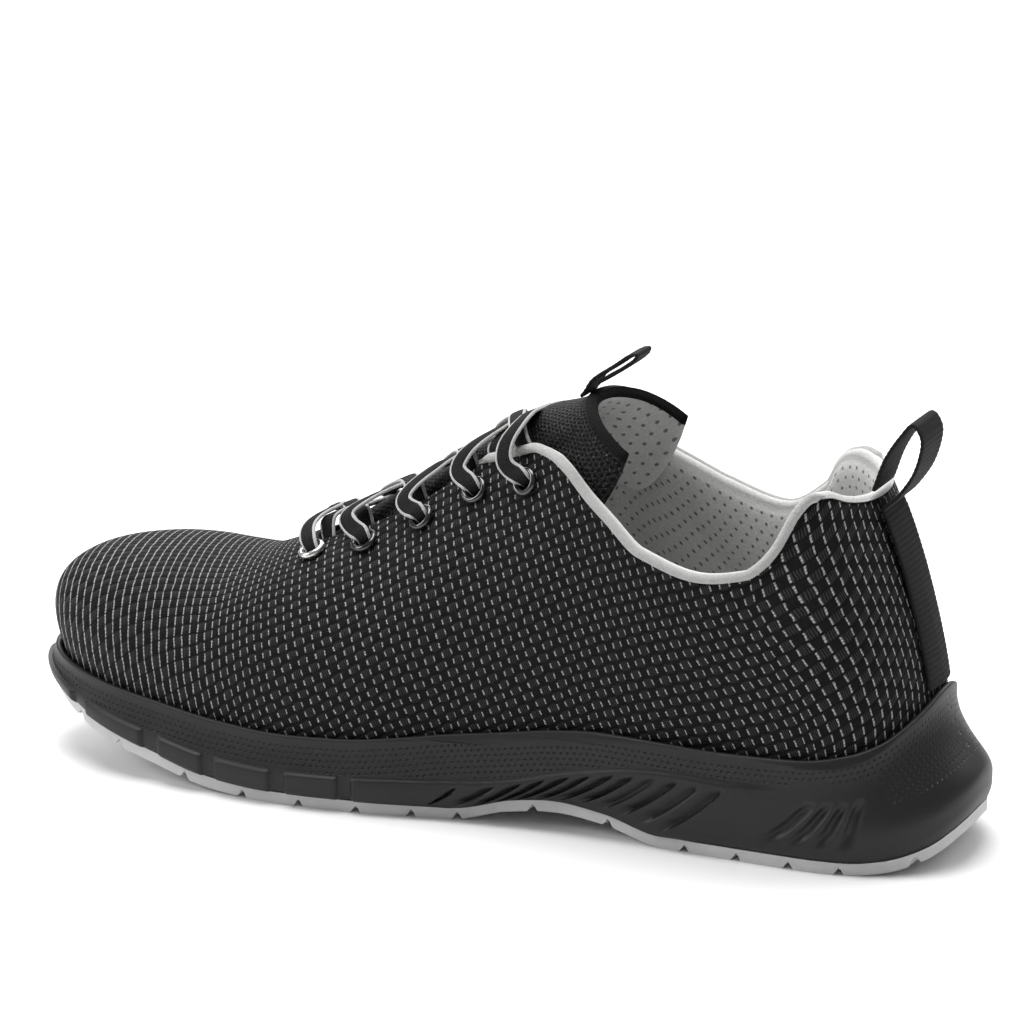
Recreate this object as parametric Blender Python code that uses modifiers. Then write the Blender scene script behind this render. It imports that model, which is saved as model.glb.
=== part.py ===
"""Safety sneaker for a right foot, empty and standing on its sole.

The toe points to -X, the wearer's right (lateral) side is +Y and the floor is z = 0. A station runs from
0 at the back of the heel to 1 at the toe. Lengths are in metres, and the tables hold shares of named sizes.
"""

import math

import bmesh
import bpy
import numpy as np
from mathutils import Matrix

# Sizes of the whole shoe
LENGTH = 0.300
BALL_WIDTH = 0.104
SOLE_HEIGHT = 0.0313
SOLE_SPREAD = 0.010
INSTEP_HEIGHT = 0.1113
CLEARANCE = 0.0003
FACET_ALLOWANCE = 0.0004

# Sole
OUTSOLE_THICKNESS = 0.0036
OUTSOLE_WEB = 0.0013
OUTSOLE_EDGE_INSET = 0.0012
LUG_WALL = 0.0005
LIP_WIDTH = 0.0020
LOWER_EDGE_ROUNDING = 0.0012
PAD_RELIEF = 0.0011
PAD_BEVEL = 0.0012
FIN_PANEL_RELIEF = 0.0008
FIN_GROOVE_DEPTH = 0.0013
FIN_SWEEP = 0.017
FIN_GROOVES = 11
HEEL_WAVE_DEPTH = 0.0009
HEEL_WAVES = 4
INSOLE_THICKNESS = 0.0040
INSOLE_EDGE_ROUNDING = 0.0012

# Upper, collar and tongue
UPPER_WALL = 0.0022
COLLAR_BEAD = 0.0026
PADDING_THICKNESS = 0.0052
PADDING_DEPTH = 0.034
PIPING_END_STATION = 0.515
TONGUE_THICKNESS = 0.0034
LACE_ROOM = 0.0024
BRIDGE_REACH = 0.25
TONGUE_CROWN_X = 0.028
TONGUE_CROWN_HEIGHT = 0.1260
TONGUE_HALF_WIDTH = 0.0245
TONGUE_CORNER_SETBACK = 0.019
TONGUE_CORNER_DROP = 0.0125

# Eyelets and lace
EYELET_STATIONS = (0.690, 0.629, 0.565, 0.508, 0.447)
EYELET_SETBACK = 0.0092
EYELET_BORE = 0.0050
EYELET_BARREL = 0.0064
EYELET_FLANGE = 0.0088
EYELET_FLANGE_THICKNESS = 0.0012
EYELET_ROLL = 0.0004
LACE_WIDTH = 0.0050
LACE_THICKNESS = 0.0016
LACE_LIFT = 0.0019
LACE_BAR_LIFT = 0.0027
LACE_BAR_ARCH = 0.0036
LACE_BAR_LEAD = 0.013
LACE_EYELET_GAP = 0.0012
LACE_TUCK = 0.0030
LACE_STEPS = 8
THROAT_RUN = np.array([1.0, 0.0, 0.5])

# Webbing loops
STRAP_WIDTH = 0.018
STRAP_THICKNESS = 0.0013
HEEL_LOOP_HEIGHT = 0.0240
HEEL_LOOP_LEAN = 0.0110
HEEL_LOOP_SPREAD = 0.0055
HEEL_LOOP_FOOT = 0.0044
HEEL_LOOP_REST = 0.0004
TONGUE_LOOP_WIDTH = 0.0110
TONGUE_LOOP_LENGTH = 0.0185
TONGUE_LOOP_OPENING = 0.0042
TONGUE_LOOP_SLOPE = 34.0


MEDIAL, LATERAL = -1, 1
SIDES = ((MEDIAL, "medial"), (LATERAL, "lateral"))


def table(names, *rows):
    """A table with named columns, one row for each section."""
    return dict(zip(names.split(), np.array(rows, float).T))


# Plan outline of the sole. Widths and the centre line are shares of half the ball width.
OUTLINE = table(
    "station centre half_width",
    (0.00, 0.000, 0.750),
    (0.08, 0.000, 0.750),
    (0.17, 0.000, 0.752),
    (0.30, 0.020, 0.768),
    (0.40, 0.045, 0.796),
    (0.50, 0.050, 0.862),
    (0.60, 0.028, 0.962),
    (0.68, 0.008, 0.992),
    (0.77, -0.022, 0.942),
    (0.83, -0.055, 0.885),
    (0.90, -0.095, 0.850),
    (1.00, -0.150, 0.760),
)
HEEL_ROUND, HEEL_POWER = 0.15, 2.2
TOE_ROUND, TOE_POWER = 0.22, 2.3

# Heights of the sole as shares of its height: ground, feather line and the cup's floor.
# The flare is how far the feather line lies inside the outline, and the tuck how far the lower edge does,
# both as shares of the sole's spread.
SOLE = table(
    "station ground feather floor flare tuck",
    (0.000, 0.385, 1.540, 0.790, 1.38, 0.01),
    (0.008, 0.285, 1.475, 0.785, 1.32, 0.02),
    (0.033, 0.115, 1.335, 0.775, 1.14, 0.04),
    (0.067, 0.025, 1.182, 0.765, 0.86, 0.06),
    (0.100, 0.000, 1.095, 0.755, 0.64, 0.06),
    (0.150, 0.000, 1.020, 0.745, 0.50, 0.06),
    (0.240, 0.000, 0.996, 0.730, 0.40, 0.06),
    (0.285, 0.000, 1.012, 0.722, 0.34, 0.10),
    (0.350, 0.120, 1.030, 0.700, 0.28, 0.26),
    (0.400, 0.165, 0.990, 0.664, 0.26, 0.30),
    (0.450, 0.120, 0.914, 0.606, 0.26, 0.26),
    (0.510, 0.000, 0.832, 0.540, 0.28, 0.10),
    (0.567, 0.000, 0.746, 0.472, 0.32, 0.06),
    (0.620, 0.000, 0.693, 0.425, 0.36, 0.06),
    (0.690, 0.000, 0.674, 0.400, 0.40, 0.06),
    (0.750, 0.025, 0.700, 0.420, 0.42, 0.06),
    (0.833, 0.190, 0.790, 0.505, 0.42, 0.06),
    (0.900, 0.355, 0.866, 0.640, 0.40, 0.06),
    (0.950, 0.520, 0.928, 0.755, 0.36, 0.06),
    (1.000, 0.680, 0.986, 0.855, 0.34, 0.06),
)

# The upper's top line: collar, eyestay edge and ridge. "top" is the station that the section leans to,
# the half widths are shares of half the ball width and the heights are shares of the instep height.
TOP_LINE = table(
    "station top medial lateral medial_height lateral_height",
    (0.000, 0.1100, 0.600, 0.600, 0.930, 0.930),
    (0.024, 0.1240, 0.600, 0.600, 0.948, 0.940),
    (0.045, 0.1370, 0.605, 0.605, 0.967, 0.945),
    (0.066, 0.1500, 0.605, 0.608, 0.962, 0.950),
    (0.083, 0.1610, 0.608, 0.615, 0.930, 0.953),
    (0.111, 0.1800, 0.630, 0.635, 0.827, 0.938),
    (0.130, 0.1935, 0.643, 0.655, 0.782, 0.905),
    (0.150, 0.2077, 0.655, 0.675, 0.755, 0.835),
    (0.215, 0.2520, 0.670, 0.690, 0.735, 0.765),
    (0.305, 0.3150, 0.655, 0.675, 0.779, 0.812),
    (0.343, 0.3510, 0.612, 0.630, 0.852, 0.862),
    (0.368, 0.3740, 0.575, 0.590, 0.898, 0.898),
    (0.398, 0.4030, 0.520, 0.530, 0.965, 0.965),
    (0.418, 0.4200, 0.470, 0.480, 0.985, 0.985),
    (0.440, 0.4400, 0.405, 0.412, 0.990, 0.990),
    (0.466, 0.4660, 0.340, 0.340, 0.966, 0.966),
    (0.487, 0.4870, 0.300, 0.300, 0.944, 0.944),
    (0.517, 0.5170, 0.265, 0.265, 0.912, 0.912),
    (0.557, 0.5570, 0.260, 0.260, 0.835, 0.835),
    (0.595, 0.5950, 0.250, 0.250, 0.767, 0.767),
    (0.660, 0.6600, 0.225, 0.225, 0.681, 0.681),
    (0.695, 0.6950, 0.185, 0.185, 0.641, 0.641),
    (0.707, 0.7070, 0.120, 0.120, 0.634, 0.634),
    (0.713, 0.7130, 0.000, 0.000, 0.632, 0.632),
    (0.748, 0.7480, 0.000, 0.000, 0.594, 0.594),
    (0.790, 0.7900, 0.000, 0.000, 0.561, 0.561),
    (0.847, 0.8470, 0.000, 0.000, 0.569, 0.569),
    (1.000, 0.8470, 0.000, 0.000, 0.569, 0.569),
)
THROAT_FRONT = 0.713
TOE_FAN = 0.847
VAMP_BLEND_START, VAMP_BLEND_END = 0.600, 0.690
RIDGE_REACH = 0.46
RIDGE_CROWN = 0.10

# Shape of each section: its lean at the feather line and its slope at the top line, in degrees, and how far
# it follows them: the lean as a share of its rise, and the slope as a share of its chord.
SECTION = table(
    "station lean lean_reach slope slope_reach",
    (0.00, -9.0, 0.36, 64.0, 0.30),
    (0.08, -2.0, 0.36, 74.0, 0.30),
    (0.15, 7.0, 0.36, 84.0, 0.30),
    (0.30, 9.0, 0.37, 85.0, 0.30),
    (0.38, 8.0, 0.38, 78.0, 0.32),
    (0.44, 7.0, 0.39, 62.0, 0.34),
    (0.52, 6.0, 0.43, 46.0, 0.36),
    (0.60, 6.0, 0.48, 36.0, 0.38),
    (0.66, 7.0, 0.52, 27.0, 0.40),
    (0.713, 8.5, 0.56, 0.0, 0.46),
    (0.85, 12.0, 0.65, 0.0, 0.55),
    (1.00, 20.0, 0.79, 0.0, 0.73),
)

# Raised pads along the lower edge of the forefoot, and the lugs under it, from and to a station.
PADS = ((0.930, 1.001), (0.837, 0.913), (0.765, 0.820), (0.687, 0.753), (0.615, 0.673), (0.300, 0.603))
PAD_TOP_LEVEL = 0.38
LUG_GAPS = (0.040, 0.105, 0.155, 0.208, 0.262, 0.345, 0.425, 0.500, 0.545, 0.600, 0.660, 0.722, 0.790, 0.870, 0.925)
LUG_GAP_WIDTH = 0.010
MIDDLE_GROOVES, MIDDLE_GROOVE_SHARE = ((0.10, 0.30), (0.52, 0.90)), 0.09
FIRST_FIN_STATION, FIN_PITCH = 0.300, 0.0215
FIRST_WAVE_STATION, WAVE_PITCH = 0.108, 0.0315

# Upper border of the swept fin panel, as a level on the side: 0 at the lower edge and 1 at the lip.
FIN_PANEL = table(
    "station border",
    (0.250, 0.72),
    (0.330, 0.66),
    (0.400, 0.62),
    (0.470, 0.56),
    (0.520, 0.46),
    (0.560, PAD_TOP_LEVEL),
    (0.603, PAD_TOP_LEVEL),
)

# Rows of the tongue under the laces: station of its middle and of its edge, depth below the throat's edge and
# crown as shares of the ball width, and share of the room that the laces take.
TONGUE = table(
    "station edge depth crown room",
    (0.745, 0.745, 0.130, 0.000, 0.15),
    (0.722, 0.722, 0.140, 0.000, 0.40),
    (0.690, 0.690, 0.090, 0.030, 0.80),
    (0.650, 0.650, 0.090, 0.054, 1.00),
    (0.600, 0.595, 0.110, 0.060, 1.00),
    (0.560, 0.545, 0.135, 0.052, 1.00),
    (0.520, 0.490, 0.165, 0.050, 1.00),
    (0.487, 0.440, 0.185, 0.062, 1.00),
    (0.463, 0.422, 0.205, 0.076, 1.00),
)

# The strands of lace above its bar: the side of the eyelet that each comes from, the station where it comes over
# the throat's edge, or starts beside the bar, the station where it goes in under the other edge, how far it leads
# forward as it leaves its eyelet, and its extra height over the first edge, at its middle and at its end, where it
# meets the next strand.
STRANDS = table(
    "side start end lead edge_rise rise end_rise",
    (MEDIAL, 0.688, 0.645, 0.000, 0.0026, 0.0014, 0.0026),
    (LATERAL, 0.688, 0.645, 0.000, 0.0026, 0.0026, 0.0028),
    (MEDIAL, 0.629, 0.583, 0.024, 0.0034, 0.0014, 0.0018),
    (LATERAL, 0.629, 0.583, 0.024, 0.0022, 0.0026, 0.0022),
    (MEDIAL, 0.565, 0.526, 0.022, 0.0022, 0.0008, 0.0028),
    (LATERAL, 0.565, 0.526, 0.022, 0.0018, 0.0016, 0.0028),
    (MEDIAL, 0.508, 0.461, 0.020, 0.0012, 0.0022, 0.0018),
    (LATERAL, 0.508, 0.461, 0.020, 0.0012, 0.0034, 0.0030),
    (MEDIAL, 0.447, 0.478, 0.016, 0.0034, 0.0032, 0.0000),
    (LATERAL, 0.447, 0.492, 0.012, 0.0010, 0.0036, 0.0000),
)

# The padded lining along the collar: share of its thickness, of its depth and of the allowance for facets.
LINING = table(
    "station thickness depth room",
    (0.000, 1.00, 1.00, 1.0),
    (0.050, 1.00, 1.00, 1.2),
    (0.090, 0.95, 0.97, 2.2),
    (0.120, 0.90, 0.95, 1.6),
    (0.150, 0.86, 0.93, 1.0),
    (0.250, 0.60, 0.80, 1.0),
    (0.310, 0.34, 0.62, 1.0),
    (0.350, 0.20, 0.40, 1.0),
    (0.390, 0.14, 0.24, 1.0),
    (0.450, 0.14, 0.12, 1.0),
    (0.515, 0.14, 0.08, 1.0),
)


def smooth(rows, column, station):
    """Reads a column at any station, on a curve that doesn't overshoot its rows."""
    x, y = rows["station"], rows[column]
    steps = np.diff(y) / np.diff(x)
    before, after = steps[:-1], steps[1:]
    turning = before * after <= 0
    total = np.where(turning, 1.0, before + after)
    slopes = np.concatenate([steps[:1], np.where(turning, 0.0, 2 * before * after / total), steps[-1:]])
    station = np.clip(station, x[0], x[-1])
    i = np.clip(np.searchsorted(x, station, side="right") - 1, 0, len(x) - 2)
    width = x[i + 1] - x[i]
    u = (station - x[i]) / width
    return (
        (1 + 2 * u) * (1 - u) ** 2 * y[i]
        + u * (1 - u) ** 2 * width * slopes[i]
        + u * u * (3 - 2 * u) * y[i + 1]
        - u * u * (1 - u) * width * slopes[i + 1]
    )


def ease(value, start, end):
    """0 before start, 1 after end, and a soft ramp between them."""
    u = min(max((value - start) / (end - start), 0.0), 1.0)
    return u * u * (3 - 2 * u)


def ramp(value, start, end, edge):
    """1 between start and end, with a straight flank of this width inside each."""
    return min(max((value - start) / edge, 0.0), 1.0) * min(max((end - value) / edge, 0.0), 1.0)


def unit(vector):
    return vector / np.linalg.norm(vector)


def end_rounding(station):
    """Share of the half width that is left near the heel's and the toe's round ends."""
    factor = 1.0
    for distance, length, power in (
        (station, HEEL_ROUND, HEEL_POWER),
        (1 - station, TOE_ROUND, TOE_POWER),
    ):
        u = 1 - min(max(distance / length, 0.0), 1.0)
        factor *= (1 - u**power) ** (1 / power)
    return factor


def plan(station, side):
    """Point of the sole's plan outline. Past an end it goes on round the other side."""
    if station < 0:
        station, side = -station, -side
    if station > 1:
        station, side = 2 - station, -side
    half = smooth(OUTLINE, "half_width", station) * end_rounding(station)
    y = (smooth(OUTLINE, "centre", station) + side * half) * BALL_WIDTH / 2
    return np.array([LENGTH * (0.5 - station), y])


def outward(station, side):
    """Unit normal of the plan outline."""
    step = 2e-4
    tangent = plan(station + step, side) - plan(station - step, side)
    return unit(side * np.array([tangent[1], -tangent[0]]))


def inset(station, side, distance, z):
    """Point of the plan outline, moved in by this distance, at height z."""
    x, y = plan(station, side) - distance * outward(station, side)
    return np.array([x, y, z])


def station_of(point):
    return min(max(0.5 - point[0] / LENGTH, 0.0), 1.0)


def height(column, station):
    return smooth(SOLE, column, station) * SOLE_HEIGHT


def offset(column, station):
    return smooth(SOLE, column, station) * SOLE_SPREAD


def midsole_bottom(station):
    return height("ground", station) + OUTSOLE_THICKNESS + CLEARANCE


def fin_shift(station, level):
    """How far a point of the side is swept back towards the heel, as a station, so that ribs lean."""
    window = ease(station, 0.03, 0.25) * (1 - ease(station, 0.52, 0.57))
    return -window * FIN_SWEEP / LENGTH * min(level / PAD_TOP_LEVEL, 1.6) ** 0.7


def side_relief(station, level):
    """How far the midsole's side stands out at a station and a level: pads, swept fins and heel waves."""
    bevel = PAD_BEVEL / LENGTH
    relief = 0.0
    for start, end in PADS[:-1]:
        relief += PAD_RELIEF * ramp(station, start, end, bevel) * (1 - ease(level, PAD_TOP_LEVEL, PAD_TOP_LEVEL + 0.05))
    border = smooth(FIN_PANEL, "border", station)
    panel = (1 - ease(level, border, border + 0.05)) * min(max((PADS[-1][1] - station) / bevel, 0.0), 1.0)
    panel *= ease(station, 0.22, 0.30)
    relief += (PAD_RELIEF * (1 - ease(level, 0.2, 0.45)) + FIN_PANEL_RELIEF * ease(level, 0.2, 0.45)) * panel
    for fin in range(FIN_GROOVES):
        distance = abs(station - FIRST_FIN_STATION - fin * FIN_PITCH) / FIN_PITCH
        groove = 1 - ease(distance, 0.08, 0.36)
        relief -= FIN_GROOVE_DEPTH * groove * ease(level, 0.03, 0.14) * (1 - ease(level, border - 0.10, border))
    for wave in range(HEEL_WAVES):
        distance = abs(station - FIRST_WAVE_STATION - wave * WAVE_PITCH) / WAVE_PITCH
        trough = 1 - ease(distance, 0.05, 0.48)
        relief -= HEEL_WAVE_DEPTH * trough * ease(level, 0.10, 0.30) * (1 - ease(level, 0.50, 0.66))
    return relief


def side_point(station, side, level):
    """Point of the midsole's side: level 0 is its lower edge and 1 its lip."""
    flare = offset("flare", station) - LIP_WIDTH
    inward = flare * ease(level, 0.2, 0.95) + offset("tuck", station) * (1 - ease(level, 0.0, 0.45))
    inward += LOWER_EDGE_ROUNDING * (1 - min(level / 0.10, 1.0)) ** 2
    inward -= side_relief(station, level)
    low = midsole_bottom(station_of(inset(station, side, inward, 0.0)))
    moved = station + fin_shift(station, level)
    return inset(moved, side, inward, low + (height("feather", station) - low) * level)


def top_point(station, side):
    """Point of the upper's top line."""
    top = smooth(TOP_LINE, "top", station)
    name = "medial" if side == MEDIAL else "lateral"
    half = smooth(TOP_LINE, name, station)
    if station < HEEL_ROUND:
        half *= end_rounding(station)
    centre = smooth(OUTLINE, "centre", top) * ease(top, 0.60, 0.72)
    return np.array(
        [
            LENGTH * (0.5 - top),
            (centre + side * half) * BALL_WIDTH / 2,
            smooth(TOP_LINE, name + "_height", station) * INSTEP_HEIGHT,
        ]
    )


def away(station, side, foot, top):
    """Level direction in which a section leaves the top line."""
    if station < HEEL_ROUND:
        return np.append(outward(station, side), 0.0)
    if station > TOE_FAN:
        return unit((foot - top) * (1, 1, 0))
    return np.array([0.0, side, 0.0])


def cut_at(points, y):
    """Control points of the part of a Bezier curve that runs from its start to this y near its end."""
    low, high = 0.5, 1.0
    for _ in range(30):
        middle = (low + high) / 2
        if abs(bezier(points, middle)[1] - points[3][1]) > abs(y - points[3][1]):
            low = middle
        else:
            high = middle
    a, b, c, d = points
    ab, bc, cd = a + (b - a) * high, b + (c - b) * high, c + (d - c) * high
    abc, bcd = ab + (bc - ab) * high, bc + (cd - bc) * high
    return np.array([a, ab, abc, abc + (bcd - abc) * high])


def section(station, side):
    """Control points of the upper's curve from the feather line to the top line. Near the throat's front it is
    cut from a curve that runs on to the ridge, so that the vamp is one smooth surface."""
    flare = offset("flare", station) + CLEARANCE + FACET_ALLOWANCE
    foot = inset(station, side, flare, height("feather", station))
    top = top_point(station, side)
    chord = np.linalg.norm(top - foot)
    lean = math.radians(smooth(SECTION, "lean", station))
    slope = math.radians(smooth(SECTION, "slope", station))
    rise = np.append(math.sin(lean) * outward(station, side), math.cos(lean))
    rise *= smooth(SECTION, "lean_reach", station)
    fall = math.cos(slope) * away(station, side, foot, top) - np.array([0, 0, math.sin(slope)])
    fall *= smooth(SECTION, "slope_reach", station)
    points = np.array([foot, foot + rise * (top[2] - foot[2]), top + fall * chord, top])
    if station <= VAMP_BLEND_START or station >= THROAT_FRONT:
        return points
    share = ease(station, VAMP_BLEND_START, VAMP_BLEND_END)
    centre = smooth(OUTLINE, "centre", station) * BALL_WIDTH / 2
    half = abs(top[1] - centre)
    ridge = np.array([top[0], centre, top[2] + RIDGE_CROWN * half])
    level = np.array([0.0, side * RIDGE_REACH * np.linalg.norm(ridge - foot), 0.0])
    whole = np.array([foot, foot + rise * (ridge[2] - foot[2]), ridge + level, ridge])
    return (1 - share) * points + share * cut_at(whole, centre + side * half)


def bezier(points, u):
    a, b, c, d = points
    return (1 - u) ** 3 * a + 3 * u * (1 - u) ** 2 * b + 3 * u * u * (1 - u) * c + u**3 * d


def along(points, distance):
    """Point of a Bezier curve at this distance before its end, and the curve's length."""
    us = np.linspace(1, 0, 41)
    curve = np.array([bezier(points, u) for u in us])
    lengths = np.concatenate([[0], np.cumsum(np.linalg.norm(np.diff(curve, axis=0), axis=1))])
    return bezier(points, np.interp(distance, lengths, us)), lengths[-1]


def wall_frame(station, side, down):
    """Point of the upper's outer face this far below its top line, with the directions up it and out of it."""
    curve = section(station, side)
    place = along(curve, down)[0]
    up = unit(place - along(curve, down + 4e-4)[0])
    step = 1e-3
    behind_side = side if station > step else -side
    ahead = along(section(station + step, side), down)[0]
    behind = along(section(abs(station - step), behind_side), down)[0]
    return place, up, unit(side * np.cross(ahead - behind, up))


def bridge(station):
    """Control points of the curve that would close the throat at a station, from medial to lateral."""
    ends = [section(station, side) for side in (MEDIAL, LATERAL)]
    gap = np.linalg.norm(ends[1][3] - ends[0][3])
    inner = [end[3] + unit(end[3] - end[2]) * gap * BRIDGE_REACH for end in ends]
    return ends[0][3], inner[0], inner[1], ends[1][3]


def closed_surface(station, across):
    """The upper's outer surface as if the throat were closed. across is the distance from its middle."""
    side = LATERAL if across >= 0 else MEDIAL
    curve = bridge(station)
    half = along(curve, 0.0)[1] / 2
    if abs(across) < half:
        return along(curve, half - across)[0]
    return along(section(station, side), abs(across) - half)[0]


def throat_half(station):
    return along(bridge(station), 0.0)[1] / 2


def surface_normal(station, across):
    step = 6e-4
    ahead = closed_surface(station + step / LENGTH, across) - closed_surface(station - step / LENGTH, across)
    beside = closed_surface(station, across + step) - closed_surface(station, across - step)
    return unit(np.cross(beside, ahead))


def raised(station, across, distance):
    """Point at this distance outside the closed surface, or inside it where it is negative."""
    return closed_surface(station, across) + surface_normal(station, across) * distance


def material(name, colour, roughness, metallic=0.0):
    made = bpy.data.materials.new(name)
    made.use_nodes = True
    shader = made.node_tree.nodes["Principled BSDF"]
    shader.inputs["Base Color"].default_value = (*colour, 1.0)
    shader.inputs["Roughness"].default_value = roughness
    shader.inputs["Metallic"].default_value = metallic
    return made


def add_object(name, mesh, finish, collection):
    made = bpy.data.objects.new(name, mesh)
    collection.objects.link(made)
    made.parent = bpy.data.objects["sneaker_origin"]
    if finish:
        mesh.materials.append(finish)
    return made


def mesh_of(name, points, faces):
    """A mesh of these points and faces, its normals facing out."""
    mesh = bpy.data.meshes.new(name)
    mesh.from_pydata([tuple(point) for point in points], [], faces)
    work = bmesh.new()
    work.from_mesh(mesh)
    bmesh.ops.recalc_face_normals(work, faces=work.faces)
    work.to_mesh(mesh)
    work.free()
    mesh.shade_smooth()
    mesh.set_sharp_from_angle(angle=math.radians(40))
    return mesh


def tube_mesh(name, sections):
    """A loft through closed sections of equal count, capped at both ends."""
    count = len(sections[0])
    points = [point for one in sections for point in one]
    faces = [tuple(range(count)), tuple((len(sections) - 1) * count + i for i in range(count))[::-1]]
    for row in range(len(sections) - 1):
        for i in range(count):
            a, b = row * count + i, row * count + (i + 1) % count
            faces.append((a, b, b + count, a + count))
    return mesh_of(name, points, faces)


def ends_and_sides(stations, point_at):
    """A closed ring of points: heel, medial side, toe, lateral side."""
    inner = stations[1:-1]
    return (
        [point_at(stations[0], LATERAL)]
        + [point_at(s, MEDIAL) for s in inner]
        + [point_at(stations[-1], LATERAL)]
        + [point_at(s, LATERAL) for s in inner[::-1]]
    )


def ring_solid(name, rings):
    """A solid from a stack of closed rings, its first and last ring closed across from side to side."""
    count = len(rings[0])
    points = [point for ring in rings for point in ring]
    faces = []
    for row in range(len(rings) - 1):
        for i in range(count):
            a, b = row * count + i, row * count + (i + 1) % count
            faces.append((a, b, b + count, a + count))
    for base in (0, (len(rings) - 1) * count):
        faces.append((base, base + 1, base + count - 1))
        for i in range(1, count // 2 - 1):
            faces.append((base + i, base + i + 1, base + count - i - 1, base + count - i))
        middle = count // 2
        faces.append((base + middle - 1, base + middle, base + middle + 1))
    return mesh_of(name, points, faces)


def end_stations(count, length, power):
    """Distances from a round end, spaced evenly round it."""
    angles = np.linspace(0, math.pi / 2, count)
    return [length * (1 - math.cos(a) ** (2 / power)) for a in angles]


def spread(middle, heel_count, toe_count):
    """Stations from heel to toe: spaced round both ends, and these in the middle."""
    heel = end_stations(heel_count, HEEL_ROUND, HEEL_POWER)
    toe = [1 - s for s in end_stations(toe_count, TOE_ROUND, TOE_POWER)]
    every = sorted(heel + toe + [s for s in middle if s not in heel])
    kept = [every[0]]
    for station in every[1:]:
        if station - kept[-1] > 0.0012:
            kept.append(station)
    kept[-1] = 1.0
    return kept


def make_midsole():
    bevel = PAD_BEVEL / LENGTH
    stations = []
    for start, end in PADS[:-1]:
        stations += [start, start + bevel, end - bevel, end]
    stations += [PADS[-1][1] - bevel, PADS[-1][1], 0.56, 0.58]
    for fin in range(FIN_GROOVES):
        middle = FIRST_FIN_STATION + fin * FIN_PITCH
        stations += [middle - 0.36 * FIN_PITCH, middle, middle + 0.36 * FIN_PITCH]
    for wave in range(HEEL_WAVES):
        middle = FIRST_WAVE_STATION + wave * WAVE_PITCH
        stations += [middle, middle + 0.5 * WAVE_PITCH]
    stations = spread([s for s in stations if s < 1], 8, 7)
    levels = (0.0, 0.10, PAD_TOP_LEVEL, PAD_TOP_LEVEL + 0.05, 0.58, 0.70, 0.86)
    rings = [ends_and_sides(stations, lambda s, side, v=level: side_point(s, side, v)) for level in levels]
    rounding = 0.3 * LIP_WIDTH

    def lip(s, side, share, z):
        flare = offset("flare", s)
        return inset(s, side, flare - LIP_WIDTH * share, z)

    rings.append(ends_and_sides(stations, lambda s, side: lip(s, side, 0.85, height("feather", s) + rounding)))
    rings.append(ends_and_sides(stations, lambda s, side: lip(s, side, 0.25, height("feather", s) + rounding)))
    rings.append(ends_and_sides(stations, lambda s, side: lip(s, side, 0.0, height("feather", s))))
    rings.append(ends_and_sides(stations, lambda s, side: lip(s, side, 0.0, height("floor", s))))
    return ring_solid("midsole", rings)


def groove_depth(station, share):
    """How far the outsole's underside lies above the ground line: 0 on the lugs, up to its web in the grooves."""
    groove = 0.0
    flank = LUG_WALL / LENGTH
    for gap in LUG_GAPS:
        groove = max(groove, ramp(station, gap - LUG_GAP_WIDTH / 2, gap + LUG_GAP_WIDTH / 2, flank))
    if any(start < station < end for start, end in MIDDLE_GROOVES):
        groove = max(groove, 1 - min(abs(share) / MIDDLE_GROOVE_SHARE, 1.0))
    return groove * (OUTSOLE_THICKNESS - OUTSOLE_WEB)


def make_outsole():
    flank = LUG_WALL / LENGTH
    stations = [0.737, 0.752, 0.767, 0.82, 0.85, 0.913, 0.93]
    for start, end in MIDDLE_GROOVES:
        stations += [start, start + flank, end - flank, end]
    for gap in LUG_GAPS:
        half = LUG_GAP_WIDTH / 2
        stations += [gap - half, gap - half + flank, gap + half - flank, gap + half]
    stations = spread(stations, 7, 13)
    shares = (-1.0, -MIDDLE_GROOVE_SHARE, 0.0, MIDDLE_GROOVE_SHARE, 1.0)
    top, low = [], []
    for station in stations:
        tuck = offset("tuck", station) + OUTSOLE_EDGE_INSET
        edges = [inset(station, side, tuck, 0.0) for side in (MEDIAL, LATERAL)]
        for share in shares:
            point = edges[0] + (edges[1] - edges[0]) * (share + 1) / 2
            ground = height("ground", station_of(point))
            top.append(point + (0, 0, ground + OUTSOLE_THICKNESS))
            low.append(point + (0, 0, ground + groove_depth(station, share)))
    points = top + low
    wide, count = len(shares), len(stations)
    faces = []
    for i in range(count - 1):
        for j in range(wide - 1):
            a = i * wide + j
            face = (a, a + 1, a + wide + 1, a + wide)
            faces += [face, tuple(count * wide + k for k in face[::-1])]
        for j in (0, wide - 1):
            a, b = i * wide + j, (i + 1) * wide + j
            faces.append((a, b, b + count * wide, a + count * wide))
    mesh = bpy.data.meshes.new("outsole")
    mesh.from_pydata([tuple(point) for point in points], [], faces)
    work = bmesh.new()
    work.from_mesh(mesh)
    bmesh.ops.remove_doubles(work, verts=work.verts, dist=2e-5)
    bmesh.ops.holes_fill(work, edges=work.edges, sides=0)
    bmesh.ops.dissolve_degenerate(work, edges=work.edges, dist=2e-6)
    bmesh.ops.recalc_face_normals(work, faces=work.faces)
    work.to_mesh(mesh)
    work.free()
    mesh.shade_smooth()
    mesh.set_sharp_from_angle(angle=math.radians(30))
    return mesh


def make_insole():
    stations = spread([0.22, 0.28, 0.33, 0.37, 0.41, 0.46, 0.52, 0.60, 0.68, 0.74], 7, 7)
    rings = []
    for lift, extra in ((0.0, 0.0), (INSOLE_THICKNESS * 0.75, 0.0), (INSOLE_THICKNESS, INSOLE_EDGE_ROUNDING)):

        def point_at(s, side, lift=lift, extra=extra):
            distance = offset("flare", s) + UPPER_WALL + 2 * (CLEARANCE + FACET_ALLOWANCE) + extra
            return inset(s, side, distance, height("floor", s) + CLEARANCE + lift)

        rings.append(ends_and_sides(stations, point_at))
    return ring_solid("insole", rings)


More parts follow.
